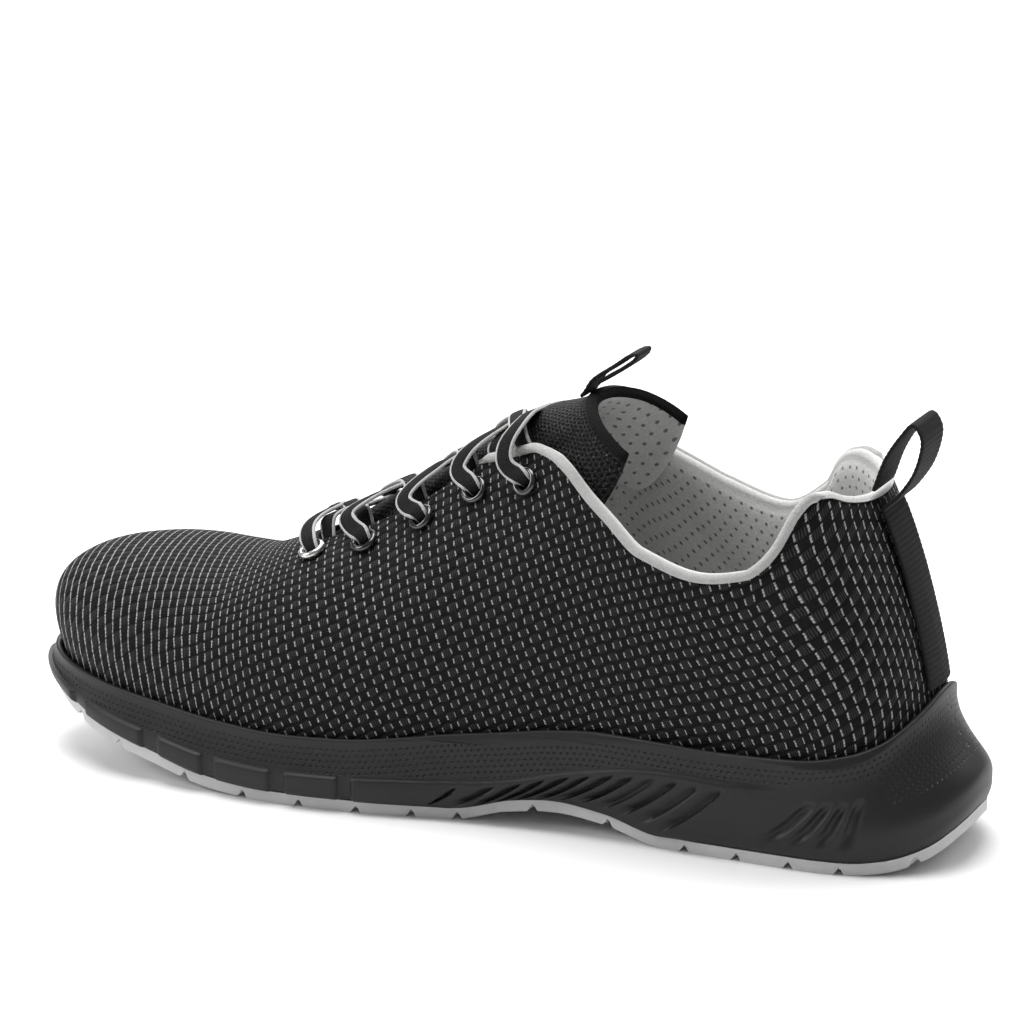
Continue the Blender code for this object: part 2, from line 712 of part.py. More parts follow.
def collar_stations():
    """Stations round the collar, from the back of the heel to the eyestay's top corner."""
    side = [0.19, 0.23, 0.27, 0.305, 0.343, 0.368, 0.39, 0.41, 0.44]
    return sorted(end_stations(8, HEEL_ROUND, HEEL_POWER) + [0.066, 0.095, 0.13] + side)


def make_upper(collection, cutters):
    """The outer surface as an open sheet, thickened inwards, with a hole for each eyelet."""
    throat = [0.466, 0.49, PIPING_END_STATION, 0.557, 0.595, 0.63, 0.66, 0.684, 0.70, 0.709, THROAT_FRONT]
    toe = [1 - s for s in end_stations(9, 1 - TOE_FAN, TOE_POWER)][::-1]
    stations = collar_stations() + throat + [0.73, 0.76, 0.80, TOE_FAN] + [s for s in toe if s > TOE_FAN + 0.002]
    levels = np.linspace(0, 1, 8)
    sheet = bmesh.new()
    columns = {}
    crowns = {}
    for side in (MEDIAL, LATERAL):
        for station in stations:
            if station in (0.0, 1.0) and (station, MEDIAL) in columns:
                columns[station, side] = columns[station, MEDIAL]
                continue
            curve = section(station, side)
            floor = curve[0] * (1, 1, 0) + (0, 0, height("floor", station) + CLEARANCE)
            column = [sheet.verts.new(floor)]
            column += [sheet.verts.new(bezier(curve, u)) for u in levels[:-1]]
            crown = curve[3]
            key = min(station, TOE_FAN) if station >= THROAT_FRONT else (station, side)
            if key not in crowns:
                crowns[key] = sheet.verts.new(crown)
            columns[station, side] = column + [crowns[key]]
    for side in (MEDIAL, LATERAL):
        for first, second in zip(stations[:-1], stations[1:]):
            a, b = columns[first, side], columns[second, side]
            for i in range(len(a) - 1):
                corners = [a[i], b[i], b[i + 1], a[i + 1]]
                corners = [v for k, v in enumerate(corners) if v not in corners[:k]]
                sheet.faces.new(corners if side == MEDIAL else corners[::-1])
    bmesh.ops.recalc_face_normals(sheet, faces=sheet.faces)
    lowest = min(sheet.faces, key=lambda face: face.calc_center_median().y)
    if lowest.normal.y > 0:
        bmesh.ops.reverse_faces(sheet, faces=sheet.faces)
    mesh = bpy.data.meshes.new("upper")
    sheet.to_mesh(mesh)
    sheet.free()
    mesh.shade_smooth()
    upper = add_object("upper", mesh, material("woven_textile", (0.030, 0.030, 0.032), 0.85), collection)
    shell = upper.modifiers.new("wall", "SOLIDIFY")
    shell.thickness = UPPER_WALL
    shell.offset = -1.0
    shell.use_even_offset = False
    for cutter in cutters:
        hole = upper.modifiers.new(cutter.name, "BOOLEAN")
        hole.operation = "DIFFERENCE"
        hole.solver = "EXACT"
        hole.object = cutter


def eyelet_frame(station, side):
    """Place and outward direction of an eyelet on the upper."""
    across = side * (throat_half(station) + EYELET_SETBACK)
    return closed_surface(station, across), surface_normal(station, across)


def aim(obj, place, direction):
    """Sets an object down at a place with its Z axis along a direction."""
    z = unit(direction)
    x = unit(np.cross((0.0, 1.0, 0.0), z))
    y = np.cross(z, x)
    matrix = np.eye(4)
    matrix[:3, 0], matrix[:3, 1], matrix[:3, 2], matrix[:3, 3] = x, y, z, place
    obj.matrix_world = Matrix(matrix.tolist())


def turned_mesh(name, profile, corners):
    """A solid of revolution about Z from a closed profile of (radius, z) points."""
    work = bmesh.new()
    rings = []
    for k in range(corners):
        angle = 2 * math.pi * k / corners
        rings.append([work.verts.new((r * math.cos(angle), r * math.sin(angle), z)) for r, z in profile])
    for k in range(corners):
        a, b = rings[k], rings[(k + 1) % corners]
        for i in range(len(profile)):
            j = (i + 1) % len(profile)
            work.faces.new((a[i], b[i], b[j], a[j]))
    bmesh.ops.recalc_face_normals(work, faces=work.faces)
    mesh = bpy.data.meshes.new(name)
    work.to_mesh(mesh)
    work.free()
    mesh.shade_smooth()
    mesh.set_sharp_from_angle(angle=math.radians(40))
    return mesh


def make_eyelets(collection, cutter_collection):
    """Ten metal rings, each with a flange on the upper and a barrel through its wall."""
    bore, barrel, flange = EYELET_BORE / 2, EYELET_BARREL / 2, EYELET_FLANGE / 2
    seat = CLEARANCE + FACET_ALLOWANCE / 2
    crown = seat + EYELET_FLANGE_THICKNESS
    tail = -UPPER_WALL - CLEARANCE
    profile = [
        (barrel, tail),
        (barrel, seat),
        (flange, seat),
        (flange - EYELET_ROLL, seat + 0.6 * EYELET_FLANGE_THICKNESS),
        ((flange + bore) / 2, crown),
        (bore, tail),
    ]
    finish = material("black_enamel", (0.020, 0.020, 0.022), 0.25, 0.6)
    cutters = []
    for side, name in SIDES:
        for number, station in enumerate(EYELET_STATIONS, 1):
            place, direction = eyelet_frame(station, side)
            ring = add_object(f"eyelet_{name}_{number}", turned_mesh("eyelet", profile, 10), finish, collection)
            aim(ring, place, direction)
            work = bmesh.new()
            bmesh.ops.create_cone(
                work,
                cap_ends=True,
                segments=10,
                radius1=barrel + CLEARANCE,
                radius2=barrel + CLEARANCE,
                depth=4 * UPPER_WALL,
            )
            mesh = bpy.data.meshes.new("eyelet_hole")
            work.to_mesh(mesh)
            work.free()
            cutter = add_object(f"hole_{name}_{number}", mesh, None, cutter_collection)
            aim(cutter, place, direction)
            cutter.hide_render = True
            cutter.display_type = "WIRE"
            cutters.append(cutter)
    return cutters


def tongue_edge(share):
    """Top edge of the tongue, from its medial corner at -1 to its lateral corner at 1."""
    angle = share * math.pi / 2
    setback = 1 - math.cos(angle)
    return np.array(
        [
            TONGUE_CROWN_X + TONGUE_CORNER_SETBACK * setback,
            TONGUE_HALF_WIDTH * math.sin(angle),
            TONGUE_CROWN_HEIGHT - TONGUE_CORNER_DROP * setback,
        ]
    )


def tongue_grid(columns, free_rows):
    """Outer face of the tongue: rows under the laces, then free rows up to its top edge."""
    shares = np.linspace(-1, 1, columns)
    rows = []
    names = ("station", "edge", "depth", "crown", "room")
    for station, edge, depth, crown, room in zip(*(TONGUE[name] for name in names)):
        row = []
        for share in shares:
            here = station + (edge - station) * abs(share) ** 1.5
            half = throat_half(here)
            across = share * (half + depth * BALL_WIDTH)
            lift = crown * BALL_WIDTH * max(0.0, 1 - (across / half) ** 2) if crown else 0.0
            row.append(raised(here, across, lift - UPPER_WALL - CLEARANCE - room * LACE_ROOM))
        rows.append(np.array(row))
    last = rows[-1]
    crest = np.array([tongue_edge(share) for share in shares])
    leave = last - rows[-2]
    leave *= (np.linalg.norm(crest - last, axis=1) / np.linalg.norm(leave, axis=1))[:, None]
    arrive = np.array([(0.55 - 0.30 * abs(s), 0.0, 0.84 + 0.13 * abs(s)) for s in shares])
    arrive *= np.linalg.norm(crest - last, axis=1)[:, None]
    for u in np.linspace(0, 1, free_rows + 1)[1:]:
        rows.append(
            (1 + 2 * u) * (1 - u) ** 2 * last
            + u * (1 - u) ** 2 * leave
            + u * u * (3 - 2 * u) * crest
            - u * u * (1 - u) * arrive
        )
    return np.array(rows)


def make_tongue(collection):
    grid = tongue_grid(13, 5)
    rows, columns = grid.shape[:2]
    faces = []
    for i in range(rows - 1):
        for j in range(columns - 1):
            a = i * columns + j
            faces.append((a, a + 1, a + columns + 1, a + columns))
    mesh = bpy.data.meshes.new("tongue")
    mesh.from_pydata([tuple(point) for point in grid.reshape(-1, 3)], [], faces)
    mesh.shade_smooth()
    tongue = add_object("tongue", mesh, material("tongue_mesh", (0.015, 0.015, 0.016), 0.9), collection)
    middle = mesh.polygons[len(faces) // 2]
    if middle.normal.z < 0:
        mesh.flip_normals()
    shell = tongue.modifiers.new("padding", "SOLIDIFY")
    shell.thickness = TONGUE_THICKNESS
    shell.offset = -1.0


def make_collar_padding():
    """Padded lining inside the collar, with the bead that rolls over the upper's edge."""
    stations = collar_stations() + [0.466, 0.49, PIPING_END_STATION]
    sections = []
    for side in (MEDIAL, LATERAL):
        for station in stations[::-1] if side == MEDIAL else stations[1:]:
            thickness = PADDING_THICKNESS * smooth(LINING, "thickness", station)
            depth = PADDING_DEPTH * smooth(LINING, "depth", station)
            room = FACET_ALLOWANCE * smooth(LINING, "room", station)
            inner = UPPER_WALL + CLEARANCE + room
            lift = CLEARANCE + room - FACET_ALLOWANCE
            # Down along the wall, inwards from its outer face
            outline = (
                (-lift, 0.0),
                (-0.6 * COLLAR_BEAD, -0.10 * COLLAR_BEAD),
                (-COLLAR_BEAD, 0.45 * COLLAR_BEAD),
                (-0.85 * COLLAR_BEAD, inner),
                (-0.1 * COLLAR_BEAD, inner + 0.6 * thickness),
                (0.22 * depth, inner + thickness),
                (0.60 * depth, inner + 0.8 * thickness),
                (depth, inner + 0.3 * thickness),
                (depth, inner),
                (0.5 * depth, inner),
                (-lift, inner),
            )
            row = []
            for down, inwards in outline:
                place, up, out = wall_frame(station, side, max(down, 0.0))
                row.append(place + up * max(-down, 0.0) - out * inwards)
            sections.append(row)
    return tube_mesh("collar_padding", sections)


def ribbon_mesh(name, path, beside, width, thickness):
    """A flat band along a path. beside gives its width's direction at each point."""
    path = np.array(path)
    sections = []
    for i, point in enumerate(path):
        tangent = unit(path[min(i + 1, len(path) - 1)] - path[max(i - 1, 0)])
        across = unit(beside[i] - tangent * np.dot(beside[i], tangent))
        normal = np.cross(tangent, across)
        w, t = width / 2, thickness / 2
        corners = ((-w, 0.0), (-0.84 * w, -t), (0.84 * w, -t), (w, 0.0), (0.84 * w, t), (-0.84 * w, t))
        sections.append([point + across * a + normal * b for a, b in corners])
    return tube_mesh(name, sections)


def curve_points(points, per_span):
    """Points of a smooth curve through these points."""
    points = np.array(points)
    ends = np.vstack([2 * points[0] - points[1], points, 2 * points[-1] - points[-2]])
    found = []
    for i in range(1, len(ends) - 2):
        a, b, c, d = ends[i - 1 : i + 3]
        for u in np.linspace(0, 1, per_span, endpoint=False):
            found.append(
                0.5 * (2 * b + (c - a) * u + (2 * a - 5 * b + 4 * c - d) * u * u + (3 * b - a - 3 * c + d) * u**3)
            )
    found.append(points[-1])
    return np.array(found)


def make_heel_strap():
    """Webbing up the back seam that turns over into a pull loop and ends on the collar's bead."""
    curve = section(0.0, LATERAL)
    off = CLEARANCE + STRAP_THICKNESS / 2
    lower = []
    for u in np.linspace(0.02, 1.0, 9):
        ahead = bezier(curve, min(u + 0.01, 1.0)) - bezier(curve, u - 0.01)
        normal = unit(np.array([ahead[2], 0.0, -ahead[0]]))
        lower.append(bezier(curve, u) + normal * off * (1 + 0.8 * u))
    start = curve[3] + (HEEL_LOOP_FOOT, 0.0, 0.0)
    rest = curve[3] + (-HEEL_LOOP_REST, 0.0, COLLAR_BEAD + CLEARANCE + STRAP_THICKNESS / 2)
    tip = curve[3] + (HEEL_LOOP_LEAN, 0.0, HEEL_LOOP_HEIGHT)
    spread_x = HEEL_LOOP_SPREAD
    loop = [
        start + (0.46 * spread_x, 0.0, 0.10 * HEEL_LOOP_HEIGHT),
        tip + (0.00 * spread_x, 0.0, -0.65 * HEEL_LOOP_HEIGHT),
        tip + (0.40 * spread_x, 0.0, -0.40 * HEEL_LOOP_HEIGHT),
        tip + (0.50 * spread_x, 0.0, -0.16 * HEEL_LOOP_HEIGHT),
        tip,
        tip + (-0.60 * spread_x, 0.0, -0.14 * HEEL_LOOP_HEIGHT),
        tip + (-1.45 * spread_x, 0.0, -0.45 * HEEL_LOOP_HEIGHT),
        rest,
    ]
    path = curve_points(lower[:-1] + [start] + loop, 2)
    beside = [np.array([0.0, 1.0, 0.0])] * len(path)
    return ribbon_mesh("heel_pull_strap", path, beside, STRAP_WIDTH, STRAP_THICKNESS)


def make_tongue_loop():
    """A folded band sewn to the front of the tongue's top edge, pointing up and back."""
    grid = tongue_grid(13, 5)
    middle = grid.shape[1] // 2
    seat, crest = grid[-2, middle], grid[-1, middle]
    run = unit(crest - seat)
    lift = unit(np.array([-run[2], 0.0, run[0]]))
    off = CLEARANCE + STRAP_THICKNESS / 2
    slope = math.radians(TONGUE_LOOP_SLOPE)
    ahead = np.array([math.cos(slope), 0.0, math.sin(slope)])
    above = np.array([-math.sin(slope), 0.0, math.cos(slope)])
    opening = TONGUE_LOOP_OPENING

    def at(share, rise):
        return crest + lift * off + ahead * TONGUE_LOOP_LENGTH * share + above * (rise * opening + STRAP_THICKNESS)

    points = [
        seat + lift * off,
        seat + (crest - seat) * 0.6 + lift * (off + 0.3 * STRAP_THICKNESS),
        at(0.12, 0.10),
        at(0.50, 0.35),
        at(0.85, 0.45),
        at(1.00, 0.05),
        at(0.88, -0.48),
        at(0.50, -0.36),
        at(0.18, -0.26),
    ]
    path = curve_points(points, 3)
    beside = [np.array([0.0, 1.0, 0.0])] * len(path)
    return ribbon_mesh("tongue_pull_loop", path, beside, TONGUE_LOOP_WIDTH, 0.9 * STRAP_THICKNESS)


def lace_path(side, start_station, end_station, lead, edge_rise, rise, end_rise):
    """One strand: out of an eyelet, or from beside the bar, over the throat's edge and in under the other edge."""
    start = throat_half(start_station) + (EYELET_SETBACK - LACE_EYELET_GAP if lead else -LACE_TUCK)
    end = throat_half(end_station) - LACE_TUCK
    edge = max(start - throat_half(start_station), 0.0) / (start + end)
    path = []
    for u in np.linspace(0, 1, LACE_STEPS):
        crossed = max((u - edge) / (1 - edge), 0.0)
        station = start_station + (end_station - start_station) * crossed
        lift = LACE_LIFT + rise * math.sin(math.pi * crossed) ** 0.7 + end_rise * ease(crossed, 0.8, 1.0)
        over_edge = edge_rise * (1 - ease(crossed, 0.1, 0.6))
        if lead:
            station += lead * math.sin(math.pi * min(u / (2 * edge), 1.0))
            lift += EYELET_FLANGE_THICKNESS * (1 - ease(u, 0.1, 0.4))
            over_edge *= ease(u, 0.2 * edge, edge)
        lift += over_edge
        path.append(raised(station, side * (start - u * (start + end)), lift))
    return path


def make_lace(collection, cutter_collection):
    """The straight bar at the first eyelets and the crossings above it, joined into one solid."""
    first = EYELET_STATIONS[0]
    half = throat_half(first) + EYELET_SETBACK - LACE_EYELET_GAP
    path = []
    for share in np.linspace(-1, 1, 9):
        station = first + LACE_BAR_LEAD * abs(math.sin(math.pi * share))
        path.append(raised(station, half * share, LACE_BAR_LIFT + LACE_BAR_ARCH * (1 - share * share)))
    base = ribbon_mesh("lace", path, [THROAT_RUN] * len(path), LACE_WIDTH, LACE_THICKNESS)
    lace = add_object("lace", base, material("braided_lace", (0.020, 0.020, 0.022), 0.8), collection)
    for number, values in enumerate(zip(*STRANDS.values()), 1):
        mesh = ribbon_mesh("strand", lace_path(*values), [THROAT_RUN] * LACE_STEPS, LACE_WIDTH, LACE_THICKNESS)
        strand = add_object(f"strand_{number}", mesh, None, cutter_collection)
        strand.hide_render = True
        strand.display_type = "WIRE"
        join = lace.modifiers.new(strand.name, "BOOLEAN")
        join.operation = "UNION"
        join.solver = "EXACT"
        join.object = strand


def main():
    for obj in list(bpy.data.objects):
        bpy.data.objects.remove(obj)
    parts = bpy.data.collections.new("safety_sneaker")
    cutters = bpy.data.collections.new("cutters")
    for collection in (parts, cutters):
        bpy.context.scene.collection.children.link(collection)
    origin = bpy.data.objects.new("sneaker_origin", None)
    parts.objects.link(origin)
    rubber = material("grey_rubber", (0.42, 0.42, 0.43), 0.7)
    foam = material("black_polyurethane", (0.022, 0.022, 0.024), 0.6)
    lining = material("grey_lining", (0.55, 0.55, 0.56), 0.9)
    webbing = material("black_webbing", (0.012, 0.012, 0.013), 0.85)
    add_object("outsole", make_outsole(), rubber, parts)
    add_object("midsole", make_midsole(), foam, parts)
    add_object("insole", make_insole(), lining, parts)
    make_upper(parts, make_eyelets(parts, cutters))
    make_tongue(parts)
    add_object("collar_padding", make_collar_padding(), lining, parts)
    add_object("heel_pull_strap", make_heel_strap(), webbing, parts)
    add_object("tongue_pull_loop", make_tongue_loop(), webbing, parts)
    make_lace(parts, cutters)


main()
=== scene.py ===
import math

import bmesh
import bpy
import numpy as np
from mathutils import Matrix


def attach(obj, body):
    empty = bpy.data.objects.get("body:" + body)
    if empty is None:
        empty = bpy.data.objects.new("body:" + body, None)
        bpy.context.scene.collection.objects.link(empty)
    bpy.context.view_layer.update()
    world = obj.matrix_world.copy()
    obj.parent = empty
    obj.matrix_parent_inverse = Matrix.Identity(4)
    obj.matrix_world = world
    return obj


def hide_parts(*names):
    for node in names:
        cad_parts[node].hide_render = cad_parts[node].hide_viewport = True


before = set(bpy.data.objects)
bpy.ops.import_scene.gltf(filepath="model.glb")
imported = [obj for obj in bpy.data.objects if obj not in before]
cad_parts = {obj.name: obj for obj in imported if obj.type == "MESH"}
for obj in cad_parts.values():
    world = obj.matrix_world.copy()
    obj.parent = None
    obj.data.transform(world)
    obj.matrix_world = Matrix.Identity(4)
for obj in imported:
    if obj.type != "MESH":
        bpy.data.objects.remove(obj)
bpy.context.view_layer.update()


# Outsole
# The tread of light grey rubber, moulded in one sheet and cemented under the foam. Its lugs are bars
# across the sole, cut by two long grooves and by fine sipes.
LENGTH, BALL_WIDTH, SOLE_HEIGHT, SOLE_SPREAD = 0.300, 0.104, 0.0313, 0.010
OUTSOLE_THICKNESS, OUTSOLE_WEB, OUTSOLE_INSET = 0.0036, 0.0013, 0.0012
HEEL_ROUND, HEEL_POWER = 0.15, 2.2
TOE_ROUND, TOE_POWER = 0.22, 2.3
LUG_FLANK, SIPE_PITCH, SIPE_DEPTH = 0.0012, 0.0042, 0.0009
MEDIAL, LATERAL = -1, 1


def table(names, *rows):
    """A table with named columns, one row for each section."""
    return dict(zip(names.split(), np.array(rows, float).T))


OUTLINE = table(
    "station centre half_width",
    (0.00, 0.000, 0.750),
    (0.08, 0.000, 0.750),
    (0.17, 0.000, 0.752),
    (0.30, 0.020, 0.768),
    (0.40, 0.045, 0.796),
    (0.50, 0.050, 0.862),
    (0.60, 0.028, 0.962),
    (0.68, 0.008, 0.992),
    (0.77, -0.022, 0.942),
    (0.83, -0.055, 0.885),
    (0.90, -0.095, 0.850),
    (1.00, -0.150, 0.760),
)
SOLE = table(
    "station ground feather floor flare tuck",
    (0.000, 0.385, 1.540, 0.790, 1.38, 0.01),
    (0.008, 0.285, 1.475, 0.785, 1.32, 0.02),
    (0.033, 0.115, 1.335, 0.775, 1.14, 0.04),
    (0.067, 0.025, 1.182, 0.765, 0.86, 0.06),
    (0.100, 0.000, 1.095, 0.755, 0.64, 0.06),
    (0.150, 0.000, 1.020, 0.745, 0.50, 0.06),
    (0.240, 0.000, 0.996, 0.730, 0.40, 0.06),
    (0.285, 0.000, 1.012, 0.722, 0.34, 0.10),
    (0.350, 0.120, 1.030, 0.700, 0.28, 0.26),
    (0.400, 0.165, 0.990, 0.664, 0.26, 0.30),
    (0.450, 0.120, 0.914, 0.606, 0.26, 0.26),
    (0.510, 0.000, 0.832, 0.540, 0.28, 0.10),
    (0.567, 0.000, 0.746, 0.472, 0.32, 0.06),
    (0.620, 0.000, 0.693, 0.425, 0.36, 0.06),
    (0.690, 0.000, 0.674, 0.400, 0.40, 0.06),
    (0.750, 0.025, 0.700, 0.420, 0.42, 0.06),
    (0.833, 0.190, 0.790, 0.505, 0.42, 0.06),
    (0.900, 0.355, 0.866, 0.640, 0.40, 0.06),
    (0.950, 0.520, 0.928, 0.755, 0.36, 0.06),
    (1.000, 0.680, 0.986, 0.855, 0.34, 0.06),
)
LUG_GAPS = (0.040, 0.105, 0.155, 0.208, 0.262, 0.345, 0.425, 0.500)
LUG_GAPS += (0.545, 0.600, 0.660, 0.722, 0.790, 0.870, 0.925)
LUG_GAP_WIDTH, LUG_BOW, LUG_START, LUG_END = 0.010, 0.010, 0.02, 0.985
LONG_GROOVE_SHARE, LONG_GROOVE_SWAY, LONG_GROOVE_SWAY_PITCH = 0.40, 0.05, 0.070
SIPE_ZIGZAG, SIPE_ZIGZAGS, SIPE_REACH = 0.0022, 9, 0.90


def smooth(rows, column, station):
    """Reads a column at any stations, on a curve that doesn't overshoot its rows."""
    x, y = rows["station"], rows[column]
    steps = np.diff(y) / np.diff(x)
    before, after = steps[:-1], steps[1:]
    turning = before * after <= 0
    total = np.where(turning, 1.0, before + after)
    slopes = np.concatenate([steps[:1], np.where(turning, 0.0, 2 * before * after / total), steps[-1:]])
    station = np.clip(station, x[0], x[-1])
    i = np.clip(np.searchsorted(x, station, side="right") - 1, 0, len(x) - 2)
    width = x[i + 1] - x[i]
    u = (station - x[i]) / width
    return (
        (1 + 2 * u) * (1 - u) ** 2 * y[i]
        + u * (1 - u) ** 2 * width * slopes[i]
        + u * u * (3 - 2 * u) * y[i + 1]
        - u * u * (1 - u) * width * slopes[i + 1]
    )


def ease(value, start, end):
    """0 before start, 1 after end, and a soft ramp between them."""
    u = np.clip((value - start) / (end - start), 0.0, 1.0)
    return u * u * (3 - 2 * u)


def ramp(value, start, end, edge):
    """1 between start and end, with a straight flank of this width inside each."""
    return np.clip((value - start) / edge, 0.0, 1.0) * np.clip((end - value) / edge, 0.0, 1.0)


def unit(vectors):
    return vectors / np.linalg.norm(vectors, axis=-1, keepdims=True)


def run_along(path):
    """Distance along a path to each of its points."""
    return np.concatenate([[0], np.cumsum(np.linalg.norm(np.diff(path, axis=0), axis=1))])


def end_rounding(station):
    heel = 1 - np.clip(station / HEEL_ROUND, 0.0, 1.0)
    toe = 1 - np.clip((1 - station) / TOE_ROUND, 0.0, 1.0)
    return (1 - heel**HEEL_POWER) ** (1 / HEEL_POWER) * (1 - toe**TOE_POWER) ** (1 / TOE_POWER)


def plan(station, side):
    """Points of the sole's plan outline. Past an end it goes on round the other side."""
    station = np.asarray(station, float)
    side = np.where((station < 0) | (station > 1), -side, side)
    station = np.where(station < 0, -station, np.where(station > 1, 2 - station, station))
    half = smooth(OUTLINE, "half_width", station) * end_rounding(station)
    y = (smooth(OUTLINE, "centre", station) + side * half) * BALL_WIDTH / 2
    return np.stack([LENGTH * (0.5 - station), y], axis=-1)


def outward(station, side):
    """Unit normals of the plan outline."""
    step = 2e-4
    tangent = plan(station + step, side) - plan(station - step, side)
    return unit(side * np.stack([tangent[..., 1], -tangent[..., 0]], axis=-1))


def inset(station, side, distance, z):
    """Points of the plan outline, moved in by this distance, at height z."""
    distance = np.asarray(distance, float)
    flat = plan(station, side) - distance[..., None] * outward(station, side)
    z = np.broadcast_to(np.asarray(z, float)[..., None], flat[..., :1].shape)
    return np.concatenate([flat, z], axis=-1)


def station_of(points):
    return np.clip(0.5 - points[..., 0] / LENGTH, 0.0, 1.0)


def height(column, station):
    return smooth(SOLE, column, station) * SOLE_HEIGHT


def offset(column, station):
    return smooth(SOLE, column, station) * SOLE_SPREAD


def end_to_end(count):
    """Stations from heel to toe, closer together round both ends."""
    dense = np.linspace(0, 1, 4001)
    path = (plan(dense, MEDIAL) + plan(dense, LATERAL) * (1, -1)) / 2
    run = run_along(path)
    return np.interp(np.linspace(0, run[-1], count), run, dense)


def girth(stations):
    """Distance along the plan outline from the heel's middle, in metres."""
    dense = np.linspace(0, 1, 4001)
    path = plan(dense, LATERAL)
    run = run_along(path)
    return np.interp(stations, dense, run)


def grid_faces(rows, columns, ring=False, base=0):
    """Quads of a grid of points, joined up across its columns where it is a ring."""
    across = columns if ring else columns - 1
    i, j = np.meshgrid(np.arange(rows - 1), np.arange(across), indexing="ij")
    a, b = i * columns + j, i * columns + (j + 1) % columns
    return (np.stack([a, b, b + columns, a + columns], axis=-1).reshape(-1, 4) + base).tolist()


def new_piece(name, points, faces, flat=None, sharp=45.0, weld=2e-6, values=None, slots=None):
    """An object of this mesh, its normals facing out. flat is its map in millimetres, values a named number
    for each point, and slots a material number for each face."""
    mesh = bpy.data.meshes.new(name)
    mesh.from_pydata(np.asarray(points, float).reshape(-1, 3).tolist(), [], faces)
    for label, numbers in (values or {}).items():
        mesh.attributes.new(label, "FLOAT", "POINT").data.foreach_set("value", np.ravel(numbers))
    if slots is not None:
        mesh.polygons.foreach_set("material_index", slots)
    if flat is not None:
        flat = np.asarray(flat, float).reshape(-1, 2)
        corner = np.empty(len(mesh.loops), int)
        mesh.loops.foreach_get("vertex_index", corner)
        mesh.uv_layers.new(name="cloth").data.foreach_set("uv", flat[corner].reshape(-1))
    work = bmesh.new()
    work.from_mesh(mesh)
    bmesh.ops.remove_doubles(work, verts=work.verts, dist=weld)
    bmesh.ops.recalc_face_normals(work, faces=work.faces)
    work.to_mesh(mesh)
    work.free()
    mesh.shade_smooth()
    mesh.set_sharp_from_angle(angle=math.radians(sharp))
    made = bpy.data.objects.new(name, mesh)
    bpy.context.scene.collection.objects.link(made)
    return made


def colour(code):
    """Linear colour of an sRGB hex value."""
    parts = [int(code[i : i + 2], 16) / 255 for i in (1, 3, 5)]
    return tuple(p / 12.92 if p <= 0.04045 else ((p + 0.055) / 1.055) ** 2.4 for p in parts) + (1.0,)


def add(tree, kind, inputs, **settings):
    """A node with these settings and inputs, each a value or a socket to link. Gives its first live output."""
    made = tree.nodes.new(kind)
    for name, value in settings.items():
        setattr(made, name, value)
    for key, value in inputs.items():
        if isinstance(value, bpy.types.NodeSocket):
            tree.links.new(value, made.inputs[key])
        else:
            made.inputs[key].default_value = value
    return next(socket for socket in made.outputs if socket.enabled)


def new_material(name, roughness, metallic=0.0, ior=1.5):
    made = bpy.data.materials.new(name)
    made.use_nodes = True
    surface = made.node_tree.nodes["Principled BSDF"]
    surface.inputs["Roughness"].default_value = roughness
    surface.inputs["Metallic"].default_value = metallic
    surface.inputs["IOR"].default_value = ior
    return made, made.node_tree, surface


# Nitrile rubber, compression moulded: matt, light grey, a little dusty in its pores.
rubber, tree, surface = new_material("moulded_nitrile_rubber", 0.62, ior=1.52)
place = add(tree, "ShaderNodeNewGeometry", {})
cloud = add(tree, "ShaderNodeTexNoise", {"Vector": place, "Scale": 60.0, "Detail": 4.0})
grain = add(tree, "ShaderNodeTexNoise", {"Vector": place, "Scale": 2400.0, "Detail": 2.0})
tone = add(tree, "ShaderNodeMix", {0: cloud, 6: colour("#b4b4b5"), 7: colour("#cbcbcc")}, data_type="RGBA")
tree.links.new(tone, surface.inputs["Base Color"])
bump = add(tree, "ShaderNodeBump", {"Strength": 0.35, "Distance": 0.0002, "Height": grain})
tree.links.new(bump, surface.inputs["Normal"])

stations = end_to_end(430)
shares = np.linspace(-1, 1, 61)
tuck = offset("tuck", stations) + OUTSOLE_INSET
edges = [inset(stations, side, tuck, np.zeros_like(stations)) for side in (MEDIAL, LATERAL)]
points = edges[0][:, None] + (edges[1] - edges[0])[:, None] * ((shares + 1) / 2)[None, :, None]
along_sole = station_of(points)
ground = height("ground", along_sole)
groove = np.zeros_like(ground)
for gap in LUG_GAPS:
    bowed = along_sole + LUG_BOW * (1 - shares**2)[None]
    cut = ramp(bowed, gap - LUG_GAP_WIDTH / 2, gap + LUG_GAP_WIDTH / 2, LUG_FLANK / LENGTH)
    groove = np.maximum(groove, cut)
lane = LONG_GROOVE_SHARE + LONG_GROOVE_SWAY * np.sin(2 * math.pi * along_sole / LONG_GROOVE_SWAY_PITCH)
groove = np.maximum(groove, 1 - ease(np.abs(np.abs(shares)[None] - lane), 0.020, 0.050))
groove *= (along_sole > LUG_START) & (along_sole < LUG_END)
waved = along_sole * LENGTH + SIPE_ZIGZAG * np.abs(((shares[None] * SIPE_ZIGZAGS) % 2) - 1)
sipe = 1 - ease(np.abs((waved / SIPE_PITCH) % 1 - 0.5), 0.06, 0.20)
sipe = sipe * (np.abs(shares)[None] < SIPE_REACH)
relief = np.maximum(groove * (OUTSOLE_THICKNESS - OUTSOLE_WEB), sipe * SIPE_DEPTH)
nothing = np.zeros_like(ground)
bottom = points + np.stack([nothing, nothing, ground + relief], axis=-1)
top = points + np.stack([nothing, nothing, ground + OUTSOLE_THICKNESS], axis=-1)
rows, columns = ground.shape
faces = grid_faces(rows, columns) + grid_faces(rows, columns, base=rows * columns)
